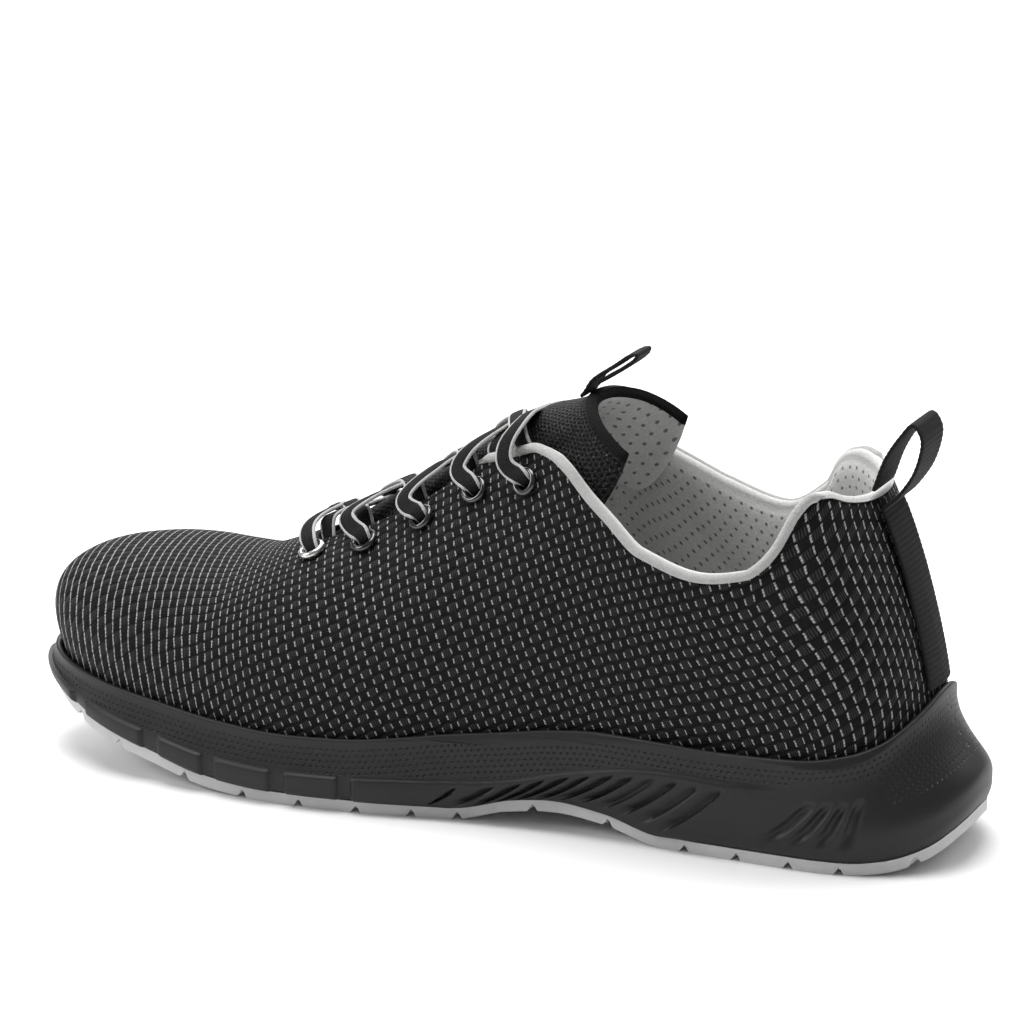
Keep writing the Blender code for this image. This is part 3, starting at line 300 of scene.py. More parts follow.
for j in (0, columns - 1):
    a = np.arange(rows - 1) * columns + j
    b = a + columns
    faces += np.stack([a, b, b + rows * columns, a + rows * columns], axis=-1).tolist()
outsole = new_piece("outsole_tread", np.concatenate([bottom, top]), faces, sharp=30.0, weld=2e-5)
outsole.data.materials.append(rubber)
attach(outsole, "root")
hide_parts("outsole")


# Midsole
# The cup of black polyurethane foam, injected on to the upper in a mould. A smooth lip runs round its top,
# pinholes fill the band below it, and pads, swept fins and soft waves stand out along its lower half.
LIP_WIDTH, EDGE_ROUNDING, CLEARANCE = 0.0020, 0.0012, 0.0003
PAD_RELIEF, PAD_BEVEL, PAD_TOP_LEVEL = 0.0013, 0.0010, 0.38
FIN_PANEL_RELIEF, FIN_DEPTH, FIN_SWEEP, FIN_GROOVES = 0.0009, 0.0015, 0.017, 11
FIRST_FIN_STATION, FIN_PITCH = 0.300, 0.0215
WAVE_DEPTH, HEEL_WAVES, FIRST_WAVE_STATION, WAVE_PITCH = 0.0015, 4, 0.108, 0.0315
PADS = ((0.930, 1.001), (0.837, 0.913), (0.765, 0.820), (0.687, 0.753), (0.615, 0.673), (0.300, 0.603))
PINHOLE_PITCH, PINHOLE_ROW = 2.05, 1.75
FIN_PANEL = table(
    "station border",
    (0.250, 0.72),
    (0.330, 0.66),
    (0.400, 0.62),
    (0.470, 0.56),
    (0.520, 0.46),
    (0.560, PAD_TOP_LEVEL),
    (0.603, PAD_TOP_LEVEL),
)


def stack_faces(rows, count):
    """Faces of a stack of rings, closed at both ends by strips across the sole."""
    faces = grid_faces(rows, count, ring=True)
    for base in (0, (rows - 1) * count):
        faces.append([base, base + 1, base + count - 1])
        faces += [
            [base + i, base + i + 1, base + count - i - 1, base + count - i] for i in range(1, count // 2)
        ]
    return faces


def fin_shift(station, level):
    """How far a point of the side is swept back towards the heel, as a station."""
    window = ease(station, 0.03, 0.25) * (1 - ease(station, 0.52, 0.57))
    return -window * FIN_SWEEP / LENGTH * np.minimum(level / PAD_TOP_LEVEL, 1.6) ** 0.7


def side_relief(station, level):
    """How far the midsole's side stands out: pads, swept fins and heel waves."""
    bevel = PAD_BEVEL / LENGTH
    relief = 0.0 * station
    for start, end in PADS[:-1]:
        relief = relief + PAD_RELIEF * ramp(station, start, end, bevel) * (
            1 - ease(level, PAD_TOP_LEVEL, PAD_TOP_LEVEL + 0.045)
        )
    border = smooth(FIN_PANEL, "border", station)
    panel = (1 - ease(level, border, border + 0.035)) * np.clip((PADS[-1][1] - station) / bevel, 0.0, 1.0)
    panel = panel * ease(station, 0.24, 0.30)
    upper_part = ease(level, 0.2, 0.45)
    relief = relief + (PAD_RELIEF * (1 - upper_part) + FIN_PANEL_RELIEF * upper_part) * panel
    fins = (station - FIRST_FIN_STATION) / FIN_PITCH
    phase = fins % 1
    blade = np.maximum(1 - ease(phase, 0.0, 0.80), ease(phase, 0.93, 1.0))
    blade = blade * ((fins > -0.07) & (fins < FIN_GROOVES))
    fading = 1 - ease(level, border - 0.16, border - 0.03)
    relief = relief - FIN_DEPTH * blade * ease(level, 0.02, 0.16) * fading
    waves = (station - FIRST_WAVE_STATION) / WAVE_PITCH
    trough = 1 - ease(np.abs((waves + 0.5) % 1 - 0.5), 0.05, 0.48)
    trough = trough * ((waves > -0.5) & (waves < HEEL_WAVES - 0.5))
    return relief - WAVE_DEPTH * trough * ease(level, 0.10, 0.30) * (1 - ease(level, 0.50, 0.66))


def side_point(station, side, level):
    """Points of the midsole's side: level 0 is its lower edge and 1 its lip."""
    flare = offset("flare", station) - LIP_WIDTH
    inward = flare * ease(level, 0.2, 0.95) + offset("tuck", station) * (1 - ease(level, 0.0, 0.45))
    inward = inward + EDGE_ROUNDING * (1 - np.minimum(level / 0.10, 1.0)) ** 2 - side_relief(station, level)
    under = inset(station, side, inward, 0.0 * station)
    low = height("ground", station_of(under)) + OUTSOLE_THICKNESS + CLEARANCE
    moved = station + fin_shift(station, level)
    return inset(moved, side, inward, low + (height("feather", station) - low) * level)


def cloth_place(tree):
    """Where a point lies on its piece's own map, in millimetres: along it and up it."""
    flat = add(tree, "ShaderNodeUVMap", {}, uv_map="cloth")
    parts = add(tree, "ShaderNodeSeparateXYZ", {0: flat}).node.outputs
    return parts[0], parts[1]


def spot_distance(tree, pitch, row_pitch, narrowing=1.0):
    """Distance to the nearest of many spots, in pitches. Each row of them is shifted by half a pitch."""
    line, row = cloth_place(tree)
    row = add(tree, "ShaderNodeMath", {0: row, 1: row_pitch}, operation="DIVIDE")
    shift = add(tree, "ShaderNodeMath", {0: row}, operation="FLOOR")
    line = add(tree, "ShaderNodeMath", {0: line, 1: pitch}, operation="DIVIDE")
    line = add(tree, "ShaderNodeMath", {0: shift, 1: 0.5, 2: line}, operation="MULTIPLY_ADD")
    line = add(tree, "ShaderNodeMath", {0: line}, operation="FRACT")
    line = add(tree, "ShaderNodeMath", {0: line, 1: 0.5}, operation="SUBTRACT")
    line = add(tree, "ShaderNodeMath", {0: line, 1: narrowing}, operation="MULTIPLY")
    row = add(tree, "ShaderNodeMath", {0: row}, operation="FRACT")
    row = add(tree, "ShaderNodeMath", {0: row, 1: 0.5}, operation="SUBTRACT")
    spot = add(tree, "ShaderNodeCombineXYZ", {0: line, 1: row})
    return add(tree, "ShaderNodeVectorMath", {0: spot}, operation="LENGTH")


# Microcellular polyurethane: matt black skin, a faint moulded grain, and pinholes 2 mm apart, painted darker as
# shade.
foam, tree, surface = new_material("moulded_polyurethane_foam", 0.46, ior=1.49)
surface.inputs["Specular IOR Level"].default_value = 0.34
spot = spot_distance(tree, PINHOLE_PITCH, PINHOLE_ROW)
hole_and_painted_shade = add(tree, "ShaderNodeMapRange", {0: spot, 1: 0.10, 2: 0.27, 3: 1.0, 4: 0.0})
band = add(tree, "ShaderNodeAttribute", {}, attribute_name="pinholes").node.outputs["Fac"]
hole_and_painted_shade = add(tree, "ShaderNodeMath", {0: hole_and_painted_shade, 1: band}, operation="MULTIPLY")
place = add(tree, "ShaderNodeNewGeometry", {})
grain = add(tree, "ShaderNodeTexNoise", {"Vector": place, "Scale": 1600.0, "Detail": 3.0})
grain = add(tree, "ShaderNodeMath", {0: grain, 1: 0.10}, operation="MULTIPLY")
relief = add(tree, "ShaderNodeMath", {0: grain, 1: hole_and_painted_shade}, operation="SUBTRACT")
bump = add(tree, "ShaderNodeBump", {"Strength": 0.8, "Distance": 0.0006, "Height": relief})
tree.links.new(bump, surface.inputs["Normal"])
cloud = add(tree, "ShaderNodeTexNoise", {"Vector": place, "Scale": 45.0, "Detail": 3.0})
skin = add(tree, "ShaderNodeMix", {0: cloud, 6: colour("#171718"), 7: colour("#222223")}, data_type="RGBA")
# Painted shade: the pinholes are coloured darker than the skin round them.
tone = add(tree, "ShaderNodeMix", {0: hole_and_painted_shade, 6: skin, 7: colour("#0b0b0c")}, data_type="RGBA")
tree.links.new(tone, surface.inputs["Base Color"])

stations = np.union1d(end_to_end(560), [s for pad in PADS for s in pad if s < 1])
levels = np.concatenate([[0.0, 0.02, 0.05], np.linspace(0.09, 0.97, 46), [1.0]])
grid_station, grid_level = np.meshgrid(stations, levels, indexing="xy")
sides = {side: side_point(grid_station, side, grid_level) for side in (MEDIAL, LATERAL)}
moved = np.abs(grid_station + fin_shift(grid_station, grid_level))
below_lip = height("feather", moved) - sides[MEDIAL][..., 2]
maps = 1000 * np.stack([girth(moved), below_lip], axis=-1)
flare = offset("flare", stations)
lip = ((0.97, 0.0003), (0.85, 0.0006), (0.55, 0.0007), (0.25, 0.0006), (0.06, 0.0003), (0.0, 0.0))
for share, rise in lip:
    for side in (MEDIAL, LATERAL):
        row = inset(stations, side, flare - LIP_WIDTH * share, height("feather", stations) + rise)
        sides[side] = np.concatenate([sides[side], row[None]])
for share in (0.35, 0.7, 1.0):
    for side in (MEDIAL, LATERAL):
        z = height("feather", stations) * (1 - share) + height("floor", stations) * share
        sides[side] = np.concatenate([sides[side], inset(stations, side, flare, z)[None]])
extra = len(sides[MEDIAL]) - len(levels)
maps = np.concatenate([maps, np.repeat(maps[-1:], extra, axis=0)])
border = smooth(FIN_PANEL, "border", grid_station)
wavy = ramp(grid_station, 0.085, 0.235, 0.03)
border = border + (0.78 - border) * wavy - 0.30 * (1 - ease(grid_station, 0.05, 0.09))
holes = ease(grid_level, border + 0.06, border + 0.08) * ease(below_lip, 0.0022, 0.0026)
holes = np.concatenate([holes, np.zeros((extra, len(stations)))])
rings = np.concatenate([sides[MEDIAL], sides[LATERAL][:, -2:0:-1]], axis=1)
ring_map = np.concatenate([maps, maps[:, -2:0:-1]], axis=1)
ring_holes = np.concatenate([holes, holes[:, -2:0:-1]], axis=1)
faces = stack_faces(*rings.shape[:2])
holes = {"pinholes": ring_holes}
midsole = new_piece("midsole_foam_cup", rings, faces, flat=ring_map, sharp=60.0, values=holes)
midsole.data.materials.append(foam)
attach(midsole, "root")
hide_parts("midsole")


# Insole
# A removable foam sock under a light grey knit, punched with small breathing holes.
INSOLE_THICKNESS, UPPER_WALL, FACET_ALLOWANCE = 0.0040, 0.0022, 0.0004
KNIT_PITCH, KNIT_ROW, KNIT_HOLE_NARROWING = 4.2, 2.9, 1.3

# Knitted polyester over foam: light grey, soft and slightly furry, with small upright holes 3.6 mm apart,
# painted mid grey as shade.
knit, tree, surface = new_material("perforated_spacer_knit", 0.95, ior=1.45)
surface.inputs["Sheen Weight"].default_value = 0.25
surface.inputs["Sheen Roughness"].default_value = 0.5
spot = spot_distance(tree, KNIT_PITCH, KNIT_ROW, KNIT_HOLE_NARROWING)
hole_and_painted_shade = add(tree, "ShaderNodeMapRange", {0: spot, 1: 0.13, 2: 0.21, 3: 1.0, 4: 0.0})
place = add(tree, "ShaderNodeNewGeometry", {})
fur = add(tree, "ShaderNodeTexNoise", {"Vector": place, "Scale": 1300.0, "Detail": 4.0, "Roughness": 0.7})
tone = add(tree, "ShaderNodeMix", {0: fur, 6: colour("#a8a8a7"), 7: colour("#e6e6e4")}, data_type="RGBA")
# Painted shade: the holes are coloured mid grey.
tone = add(tree, "ShaderNodeMix", {0: hole_and_painted_shade, 6: tone, 7: colour("#7a7a79")}, data_type="RGBA")
tree.links.new(tone, surface.inputs["Base Color"])
relief = add(tree, "ShaderNodeMath", {0: fur, 1: 0.5}, operation="MULTIPLY")
relief = add(tree, "ShaderNodeMath", {0: relief, 1: hole_and_painted_shade}, operation="SUBTRACT")
bump = add(tree, "ShaderNodeBump", {"Strength": 0.7, "Distance": 0.0005, "Height": relief})
tree.links.new(bump, surface.inputs["Normal"])

stations = end_to_end(150)
rings, maps = [], []
distance = offset("flare", stations) + UPPER_WALL + 2 * (CLEARANCE + FACET_ALLOWANCE)
room = smooth(OUTLINE, "half_width", stations) * end_rounding(stations) * BALL_WIDTH / 2
middle = smooth(OUTLINE, "centre", stations)[:, None] * BALL_WIDTH / 2
edge = ((0.0, 0.0), (0.4, 0.0), (0.75, 0.0), (0.93, 0.0004), (1.0, 0.0014), (1.02, 0.008), (1.0, 0.020))
for lift, extra in edge:
    sides = []
    shrink = np.clip(extra / np.maximum(room, 0.004), 0, 0.8)[:, None]
    for side in (MEDIAL, LATERAL):
        z = height("floor", stations) + CLEARANCE + lift * INSOLE_THICKNESS
        point = inset(stations, side, distance, z)
        point[:, 1:2] += (middle - point[:, 1:2]) * shrink
        sides.append(point)
    rings.append(np.concatenate([sides[0], sides[1][-2:0:-1]]))
rings = np.array(rings)
insole = new_piece("insole_sock", rings, stack_faces(*rings.shape[:2]), flat=1000 * rings[..., :2])
insole.data.materials.append(knit)
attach(insole, "root")
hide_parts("insole")


# Upper
# One piece of basket-woven polyester, lasted over the toe cap and the heel counter and bonded under the foam.
# The wall is 2.2 mm with its backing. Light grey binder threads run from the sole to the top.
INSTEP_HEIGHT, THROAT_FRONT, TOE_FAN = 0.1113, 0.713, 0.847
VAMP_BLEND_START, VAMP_BLEND_END, RIDGE_REACH, RIDGE_CROWN = 0.600, 0.690, 0.46, 0.10
BRIDGE_REACH, WEAVE_COLUMN, WEAVE_ROW = 0.25, 2.9, 3.35
WARP_RIB, WEFT_RIB, THREAD_BEAD = 0.58, 0.80, 0.95
TOP_LINE = table(
    "station top medial lateral medial_height lateral_height",
    (0.000, 0.1100, 0.600, 0.600, 0.930, 0.930),
    (0.024, 0.1240, 0.600, 0.600, 0.948, 0.940),
    (0.045, 0.1370, 0.605, 0.605, 0.967, 0.945),
    (0.066, 0.1500, 0.605, 0.608, 0.962, 0.950),
    (0.083, 0.1610, 0.608, 0.615, 0.930, 0.953),
    (0.111, 0.1800, 0.630, 0.635, 0.827, 0.938),
    (0.130, 0.1935, 0.643, 0.655, 0.782, 0.905),
    (0.150, 0.2077, 0.655, 0.675, 0.755, 0.835),
    (0.215, 0.2520, 0.670, 0.690, 0.735, 0.765),
    (0.305, 0.3150, 0.655, 0.675, 0.779, 0.812),
    (0.343, 0.3510, 0.612, 0.630, 0.852, 0.862),
    (0.368, 0.3740, 0.575, 0.590, 0.898, 0.898),
    (0.398, 0.4030, 0.520, 0.530, 0.965, 0.965),
    (0.418, 0.4200, 0.470, 0.480, 0.985, 0.985),
    (0.440, 0.4400, 0.405, 0.412, 0.990, 0.990),
    (0.466, 0.4660, 0.340, 0.340, 0.966, 0.966),
    (0.487, 0.4870, 0.300, 0.300, 0.944, 0.944),
    (0.517, 0.5170, 0.265, 0.265, 0.912, 0.912),
    (0.557, 0.5570, 0.260, 0.260, 0.835, 0.835),
    (0.595, 0.5950, 0.250, 0.250, 0.767, 0.767),
    (0.660, 0.6600, 0.225, 0.225, 0.681, 0.681),
    (0.695, 0.6950, 0.185, 0.185, 0.641, 0.641),
    (0.707, 0.7070, 0.120, 0.120, 0.634, 0.634),
    (0.713, 0.7130, 0.000, 0.000, 0.632, 0.632),
    (0.748, 0.7480, 0.000, 0.000, 0.594, 0.594),
    (0.790, 0.7900, 0.000, 0.000, 0.561, 0.561),
    (0.847, 0.8470, 0.000, 0.000, 0.569, 0.569),
    (1.000, 0.8470, 0.000, 0.000, 0.569, 0.569),
)
SECTION = table(
    "station lean lean_reach slope slope_reach",
    (0.00, -9.0, 0.36, 64.0, 0.30),
    (0.08, -2.0, 0.36, 74.0, 0.30),
    (0.15, 7.0, 0.36, 84.0, 0.30),
    (0.30, 9.0, 0.37, 85.0, 0.30),
    (0.38, 8.0, 0.38, 78.0, 0.32),
    (0.44, 7.0, 0.39, 62.0, 0.34),
    (0.52, 6.0, 0.43, 46.0, 0.36),
    (0.60, 6.0, 0.48, 36.0, 0.38),
    (0.66, 7.0, 0.52, 27.0, 0.40),
    (0.713, 8.5, 0.56, 0.0, 0.46),
    (0.85, 12.0, 0.65, 0.0, 0.55),
    (1.00, 20.0, 0.79, 0.0, 0.73),
)


def top_point(station, side):
    top = smooth(TOP_LINE, "top", station)
    name = "medial" if side == MEDIAL else "lateral"
    half = smooth(TOP_LINE, name, station)
    if station < HEEL_ROUND:
        half = half * end_rounding(station)
    centre = smooth(OUTLINE, "centre", top) * ease(top, 0.60, 0.72)
    return np.array(
        [
            LENGTH * (0.5 - top),
            (centre + side * half) * BALL_WIDTH / 2,
            smooth(TOP_LINE, name + "_height", station) * INSTEP_HEIGHT,
        ]
    )


def bezier(points, u):
    a, b, c, d = points
    u = np.asarray(u, float)[..., None]
    return (1 - u) ** 3 * a + 3 * u * (1 - u) ** 2 * b + 3 * u * u * (1 - u) * c + u**3 * d


def cut_at(points, y):
    """Control points of the part of a curve that runs from its start to this y near its end."""
    low, high = 0.5, 1.0
    for _ in range(30):
        middle = (low + high) / 2
        if abs(bezier(points, middle)[1] - points[3][1]) > abs(y - points[3][1]):
            low = middle
        else:
            high = middle
    a, b, c, d = points
    ab, bc, cd = a + (b - a) * high, b + (c - b) * high, c + (d - c) * high
    abc, bcd = ab + (bc - ab) * high, bc + (cd - bc) * high
    return np.array([a, ab, abc, abc + (bcd - abc) * high])


def section(station, side):
    """Control points of the upper's curve from the feather line to the top line."""
    flare = offset("flare", station) + CLEARANCE + FACET_ALLOWANCE
    foot = inset(station, side, flare, height("feather", station))
    top = top_point(station, side)
    chord = np.linalg.norm(top - foot)
    lean = math.radians(smooth(SECTION, "lean", station))
    slope = math.radians(smooth(SECTION, "slope", station))
    rise = np.append(math.sin(lean) * outward(station, side), math.cos(lean))
    rise = rise * smooth(SECTION, "lean_reach", station)
    if station < HEEL_ROUND:
        away = np.append(outward(station, side), 0.0)
    elif station > TOE_FAN:
        away = unit((foot - top) * (1, 1, 0))
    else:
        away = np.array([0.0, side, 0.0])
    fall = math.cos(slope) * away - np.array([0, 0, math.sin(slope)])
    fall = fall * smooth(SECTION, "slope_reach", station)
    points = np.array([foot, foot + rise * (top[2] - foot[2]), top + fall * chord, top])
    if station <= VAMP_BLEND_START or station >= THROAT_FRONT:
        return points
    share = ease(station, VAMP_BLEND_START, VAMP_BLEND_END)
    centre = smooth(OUTLINE, "centre", station) * BALL_WIDTH / 2
    half = abs(top[1] - centre)
    ridge = np.array([top[0], centre, top[2] + RIDGE_CROWN * half])
    level = np.array([0.0, side * RIDGE_REACH * np.linalg.norm(ridge - foot), 0.0])
    whole = np.array([foot, foot + rise * (ridge[2] - foot[2]), ridge + level, ridge])
    return (1 - share) * points + share * cut_at(whole, centre + side * half)


def along(points, distances):
    """Points of a curve at these distances before its end, and its length."""
    us = np.linspace(1, 0, 61)
    curve = bezier(points, us)
    lengths = run_along(curve)
    return bezier(points, np.interp(distances, lengths, us)), lengths[-1]


def bridge(station):
    """Control points of the curve that would close the throat at a station, from medial to lateral."""
    ends = [section(station, side) for side in (MEDIAL, LATERAL)]
    gap = np.linalg.norm(ends[1][3] - ends[0][3])
    inner = [end[3] + unit(end[3] - end[2]) * gap * BRIDGE_REACH for end in ends]
    return np.array([ends[0][3], inner[0], inner[1], ends[1][3]])


def closed_surface(station, across):
    """Points of the upper's outer surface as if the throat were closed, at distances from its middle."""
    curve = bridge(station)
    half = along(curve, 0.0)[1] / 2
    across = np.asarray(across, float)
    found = along(curve, np.clip(half - across, 0, 2 * half))[0]
    for side in (MEDIAL, LATERAL):
        beyond = along(section(station, side), np.maximum(np.abs(across) - half, 0))[0]
        found = np.where(((np.abs(across) > half) & (np.sign(across) == side))[..., None], beyond, found)
    return found


def throat_half(station):
    return along(bridge(station), 0.0)[1] / 2


def throat_reach(station):
    """Half the width of cloth that the throat cuts away, or 0 in front of it."""
    return throat_half(station) if station < THROAT_FRONT else 0.0


def surface_normal(station, across):
    step = 6e-4
    across = np.asarray(across, float)
    ahead = closed_surface(station + step / LENGTH, across) - closed_surface(station - step / LENGTH, across)
    beside = closed_surface(station, across + step) - closed_surface(station, across - step)
    return unit(np.cross(beside, ahead))


def raised(station, across, distance):
    """Points at this distance outside the closed surface, or inside it where it is negative."""
    away = np.asarray(distance, float)[..., None]
    return closed_surface(station, across) + surface_normal(station, across) * away


# Basket weave of black polyester: ribbed dark grey warp blocks and black weft blocks take turns, and a light
# grey thread shows as a short dash on both sides of each block. The threads are drawn at their real pitch. The
# warp ribs are painted lighter on their crests and darker in their troughs, and every block is painted darker
# towards its upper and lower ends, as shade where the yarns dip under.
weave, tree, surface = new_material("basket_woven_polyester", 0.72, ior=1.46)
surface.inputs["Specular IOR Level"].default_value = 0.14
flat = add(tree, "ShaderNodeUVMap", {}, uv_map="cloth")
place = add(tree, "ShaderNodeNewGeometry", {})
drift = add(tree, "ShaderNodeTexNoise", {"Vector": place, "Scale": 260.0, "Detail": 2.0}).node.outputs["Color"]
drift = add(tree, "ShaderNodeVectorMath", {0: drift, 1: (0.5, 0.5, 0.5)}, operation="SUBTRACT")
drift = add(tree, "ShaderNodeVectorMath", {0: drift, 3: 0.9}, operation="SCALE")
flat = add(tree, "ShaderNodeVectorMath", {0: flat, 1: drift}, operation="ADD")
flat = add(tree, "ShaderNodeSeparateXYZ", {0: flat}).node.outputs
column = add(tree, "ShaderNodeMath", {0: flat[0], 1: WEAVE_COLUMN}, operation="DIVIDE")
row = add(tree, "ShaderNodeMath", {0: flat[1], 1: WEAVE_ROW}, operation="DIVIDE")
first = add(tree, "ShaderNodeMath", {0: column}, operation="FLOOR")
second = add(tree, "ShaderNodeMath", {0: row}, operation="FLOOR")
turn = add(tree, "ShaderNodeMath", {0: first, 1: second}, operation="ADD")
warp = add(tree, "ShaderNodeMath", {0: turn, 1: 2.0}, operation="FLOORED_MODULO")
across = add(tree, "ShaderNodeMath", {0: column, 1: 0.5}, operation="PINGPONG")
across = add(tree, "ShaderNodeMath", {0: across, 1: 2.0}, operation="MULTIPLY")
down = add(tree, "ShaderNodeMath", {0: row, 1: 0.5}, operation="PINGPONG")
down = add(tree, "ShaderNodeMath", {0: down, 1: 2.0}, operation="MULTIPLY")
across_dome = add(tree, "ShaderNodeMapRange", {0: across, 1: 0.0, 2: 0.45}, interpolation_type="SMOOTHSTEP")
down_dome = add(tree, "ShaderNodeMapRange", {0: down, 1: 0.0, 2: 0.75}, interpolation_type="SMOOTHSTEP")
ribs = add(tree, "ShaderNodeMath", {0: flat[0], 1: 2 * math.pi / WARP_RIB}, operation="MULTIPLY")
ribs = add(tree, "ShaderNodeMath", {0: ribs}, operation="SINE")
weft_ribs = add(tree, "ShaderNodeMath", {0: flat[1], 1: 2 * math.pi / WEFT_RIB}, operation="MULTIPLY")
weft_ribs = add(tree, "ShaderNodeMath", {0: weft_ribs}, operation="SINE")
warp_height = add(tree, "ShaderNodeMath", {0: down_dome, 1: across_dome}, operation="MULTIPLY")
warp_height = add(tree, "ShaderNodeMath", {0: ribs, 1: 0.16, 2: warp_height}, operation="MULTIPLY_ADD")
weft_height = add(tree, "ShaderNodeMath", {0: down_dome, 1: 0.62}, operation="MULTIPLY")
weft_height = add(tree, "ShaderNodeMath", {0: weft_ribs, 1: 0.10, 2: weft_height}, operation="MULTIPLY_ADD")
relief = add(tree, "ShaderNodeMix", {0: warp, 2: weft_height, 3: warp_height})
thread = add(tree, "ShaderNodeMapRange", {0: across, 1: 0.09, 2: 0.19, 3: 1.0, 4: 0.0})
reach = add(tree, "ShaderNodeAttribute", {}, attribute_name="thread_reach").node.outputs["Fac"]
shown = add(tree, "ShaderNodeMath", {0: down, 1: reach}, operation="SUBTRACT")
shown = add(tree, "ShaderNodeMapRange", {0: shown, 1: -0.08, 2: 0.08})
beads = add(tree, "ShaderNodeMath", {0: flat[1], 1: 2 * math.pi / THREAD_BEAD}, operation="MULTIPLY")
beads = add(tree, "ShaderNodeMath", {0: beads}, operation="SINE")
beads = add(tree, "ShaderNodeMapRange", {0: beads, 1: -1.0, 2: 1.0, 3: 0.45, 4: 1.0})
dash = add(tree, "ShaderNodeMath", {0: thread, 1: shown}, operation="MULTIPLY")
dash = add(tree, "ShaderNodeMath", {0: dash, 1: beads}, operation="MULTIPLY")
fray = add(tree, "ShaderNodeTexNoise", {"Vector": place, "Scale": 900.0, "Detail": 2.0})
# Painted light and shade on the warp ribs: lighter on their crests, darker in their troughs.
ridge = add(tree, "ShaderNodeMapRange", {0: ribs, 1: -1.0, 2: 1.0})
warp_tone_and_painted_rib_shade = add(tree, "ShaderNodeMix", {0: ridge, 6: colour("#0b0b0c"), 7: colour("#363638")}, data_type="RGBA")
weft_tone = add(tree, "ShaderNodeMix", {0: fray, 6: colour("#060607"), 7: colour("#1a1a1b")}, data_type="RGBA")
cloth_tone = add(tree, "ShaderNodeMix", {0: warp, 6: weft_tone, 7: warp_tone_and_painted_rib_shade}, data_type="RGBA")
# Painted shade: each block darkens to near black towards its upper and lower ends, where the yarns dip under.
seat = add(tree, "ShaderNodeMapRange", {0: down, 1: 0.05, 2: 0.35, 3: 0.35, 4: 1.0})
cloth_tone = add(tree, "ShaderNodeMix", {0: seat, 6: colour("#060607"), 7: cloth_tone}, data_type="RGBA")
tone = add(tree, "ShaderNodeMix", {0: dash, 6: cloth_tone, 7: colour("#bdbdbb")}, data_type="RGBA")
tree.links.new(tone, surface.inputs["Base Color"])
relief = add(tree, "ShaderNodeMath", {0: dash, 1: 0.45, 2: relief}, operation="MULTIPLY_ADD")
relief = add(tree, "ShaderNodeMath", {0: fray, 1: 0.22, 2: relief}, operation="MULTIPLY_ADD")
bump = add(tree, "ShaderNodeBump", {"Strength": 0.85, "Distance": 0.0006, "Height": relief})
tree.links.new(bump, surface.inputs["Normal"])

middle_line = np.linspace(0, 1, 801)
middle_points = np.array([bezier(section(s, LATERAL), 0.45) for s in middle_line])
middle_run = run_along(middle_points)
half_run, throat_run = np.interp([0.5, THROAT_FRONT], middle_line, middle_run)
back_part = np.interp(np.linspace(0, half_run, 120), middle_run, middle_line)
throat_part = np.linspace(0.50, THROAT_FRONT, 66)
toe_part = np.interp(np.linspace(throat_run, middle_run[-1], 110), middle_run, middle_line)
stations = np.concatenate([back_part[:-1], throat_part[:-1], toe_part])

# The cloth's own map: level along the sole at the back, and over the toe it follows the shoe's middle line.
LEVELS, CLOTH_TOP, TOE_STRETCH, TOE_BEND = 62, 0.088, 1.16, 0.060
WEAVE_LEAN, WEAVE_CLIMB, CLIMB_LOSS = 0.38, 0.36, 0.10
toe_curve = section(1.0, LATERAL)
nose = along(toe_curve, np.linspace(0, along(toe_curve, 0.0)[1], 200))[0]
ridge = np.array([closed_surface(s, 0.0) for s in np.linspace(0.50, TOE_FAN, 80)[:-1]])
profile = np.concatenate([ridge, nose])
profile_run = run_along(profile)
straight = profile[0, 0] - profile[:, 0]
bend_run, bend_straight = (np.interp(TOE_BEND, -profile[:, 0], run) for run in (profile_run, straight))
profile_run = np.where(profile[:, 0] > -TOE_BEND, straight, profile_run - bend_run + bend_straight)
grids, maps, reaches = [], [], []
for side in (MEDIAL, LATERAL):
    grid, flat, reach = [], [], []
    for station in stations:
        curve = section(station, side)
        total = along(curve, 0.0)[1]
        downs = np.linspace(0, total, LEVELS)
        points = along(curve, downs)[0]
        base = points[-1] * (1, 1, 0) + (0, 0, height("floor", station) + CLEARANCE)
        u = np.full(LEVELS + 1, np.interp(station, middle_line, middle_run))
        v = np.append(total - downs, -abs(points[-1][2] - base[2]))
        share = ease(station, 0.52, 0.64)
        v = v * (1 - share) + (CLOTH_TOP - throat_reach(station) - np.append(downs, total + 0.004)) * share
        points = np.vstack([points, base])
        if station > 0.5:
            u = half_run + np.interp(-points[:, 0], -profile[:, 0], profile_run)
            ridge_z = np.interp(-points[:, 0], -profile[:, 0], profile[:, 2])
            aside = points[:, 1] - smooth(OUTLINE, "centre", station_of(points)) * BALL_WIDTH / 2
            chord = np.hypot(aside, np.maximum(ridge_z - points[:, 2], 0))
            share = ease(-points[:, 0], 0.045, 0.095)
            v = v * (1 - share) + (CLOTH_TOP - chord * TOE_STRETCH) * share
        if side == LATERAL:
            v = 2 * CLOTH_TOP - v
        lean = WEAVE_LEAN * ease(u, 0.010, 0.100) * (1 - 0.5 * ease(u, 0.200, 0.280))
        u, v = u - lean * v, v + WEAVE_CLIMB * u - CLIMB_LOSS * np.maximum(u - 0.180, 0)
        grid.append(points)
        flat.append(1000 * np.stack([u, v + 0.1], axis=-1))
        reach.append(0.50 - 0.40 * ease(station, 0.70, 0.84) - 0.22 * (1 - ease(station, 0.06, 0.22)))
    grids.append(grid)
    maps.append(flat)
    reaches.append(reach)
grids, maps = np.array(grids), np.array(maps)
rows, columns = grids.shape[1:3]
faces = grid_faces(rows, columns) + grid_faces(rows, columns, base=rows * columns)
reaches = np.repeat(np.array(reaches)[..., None], columns, axis=-1)
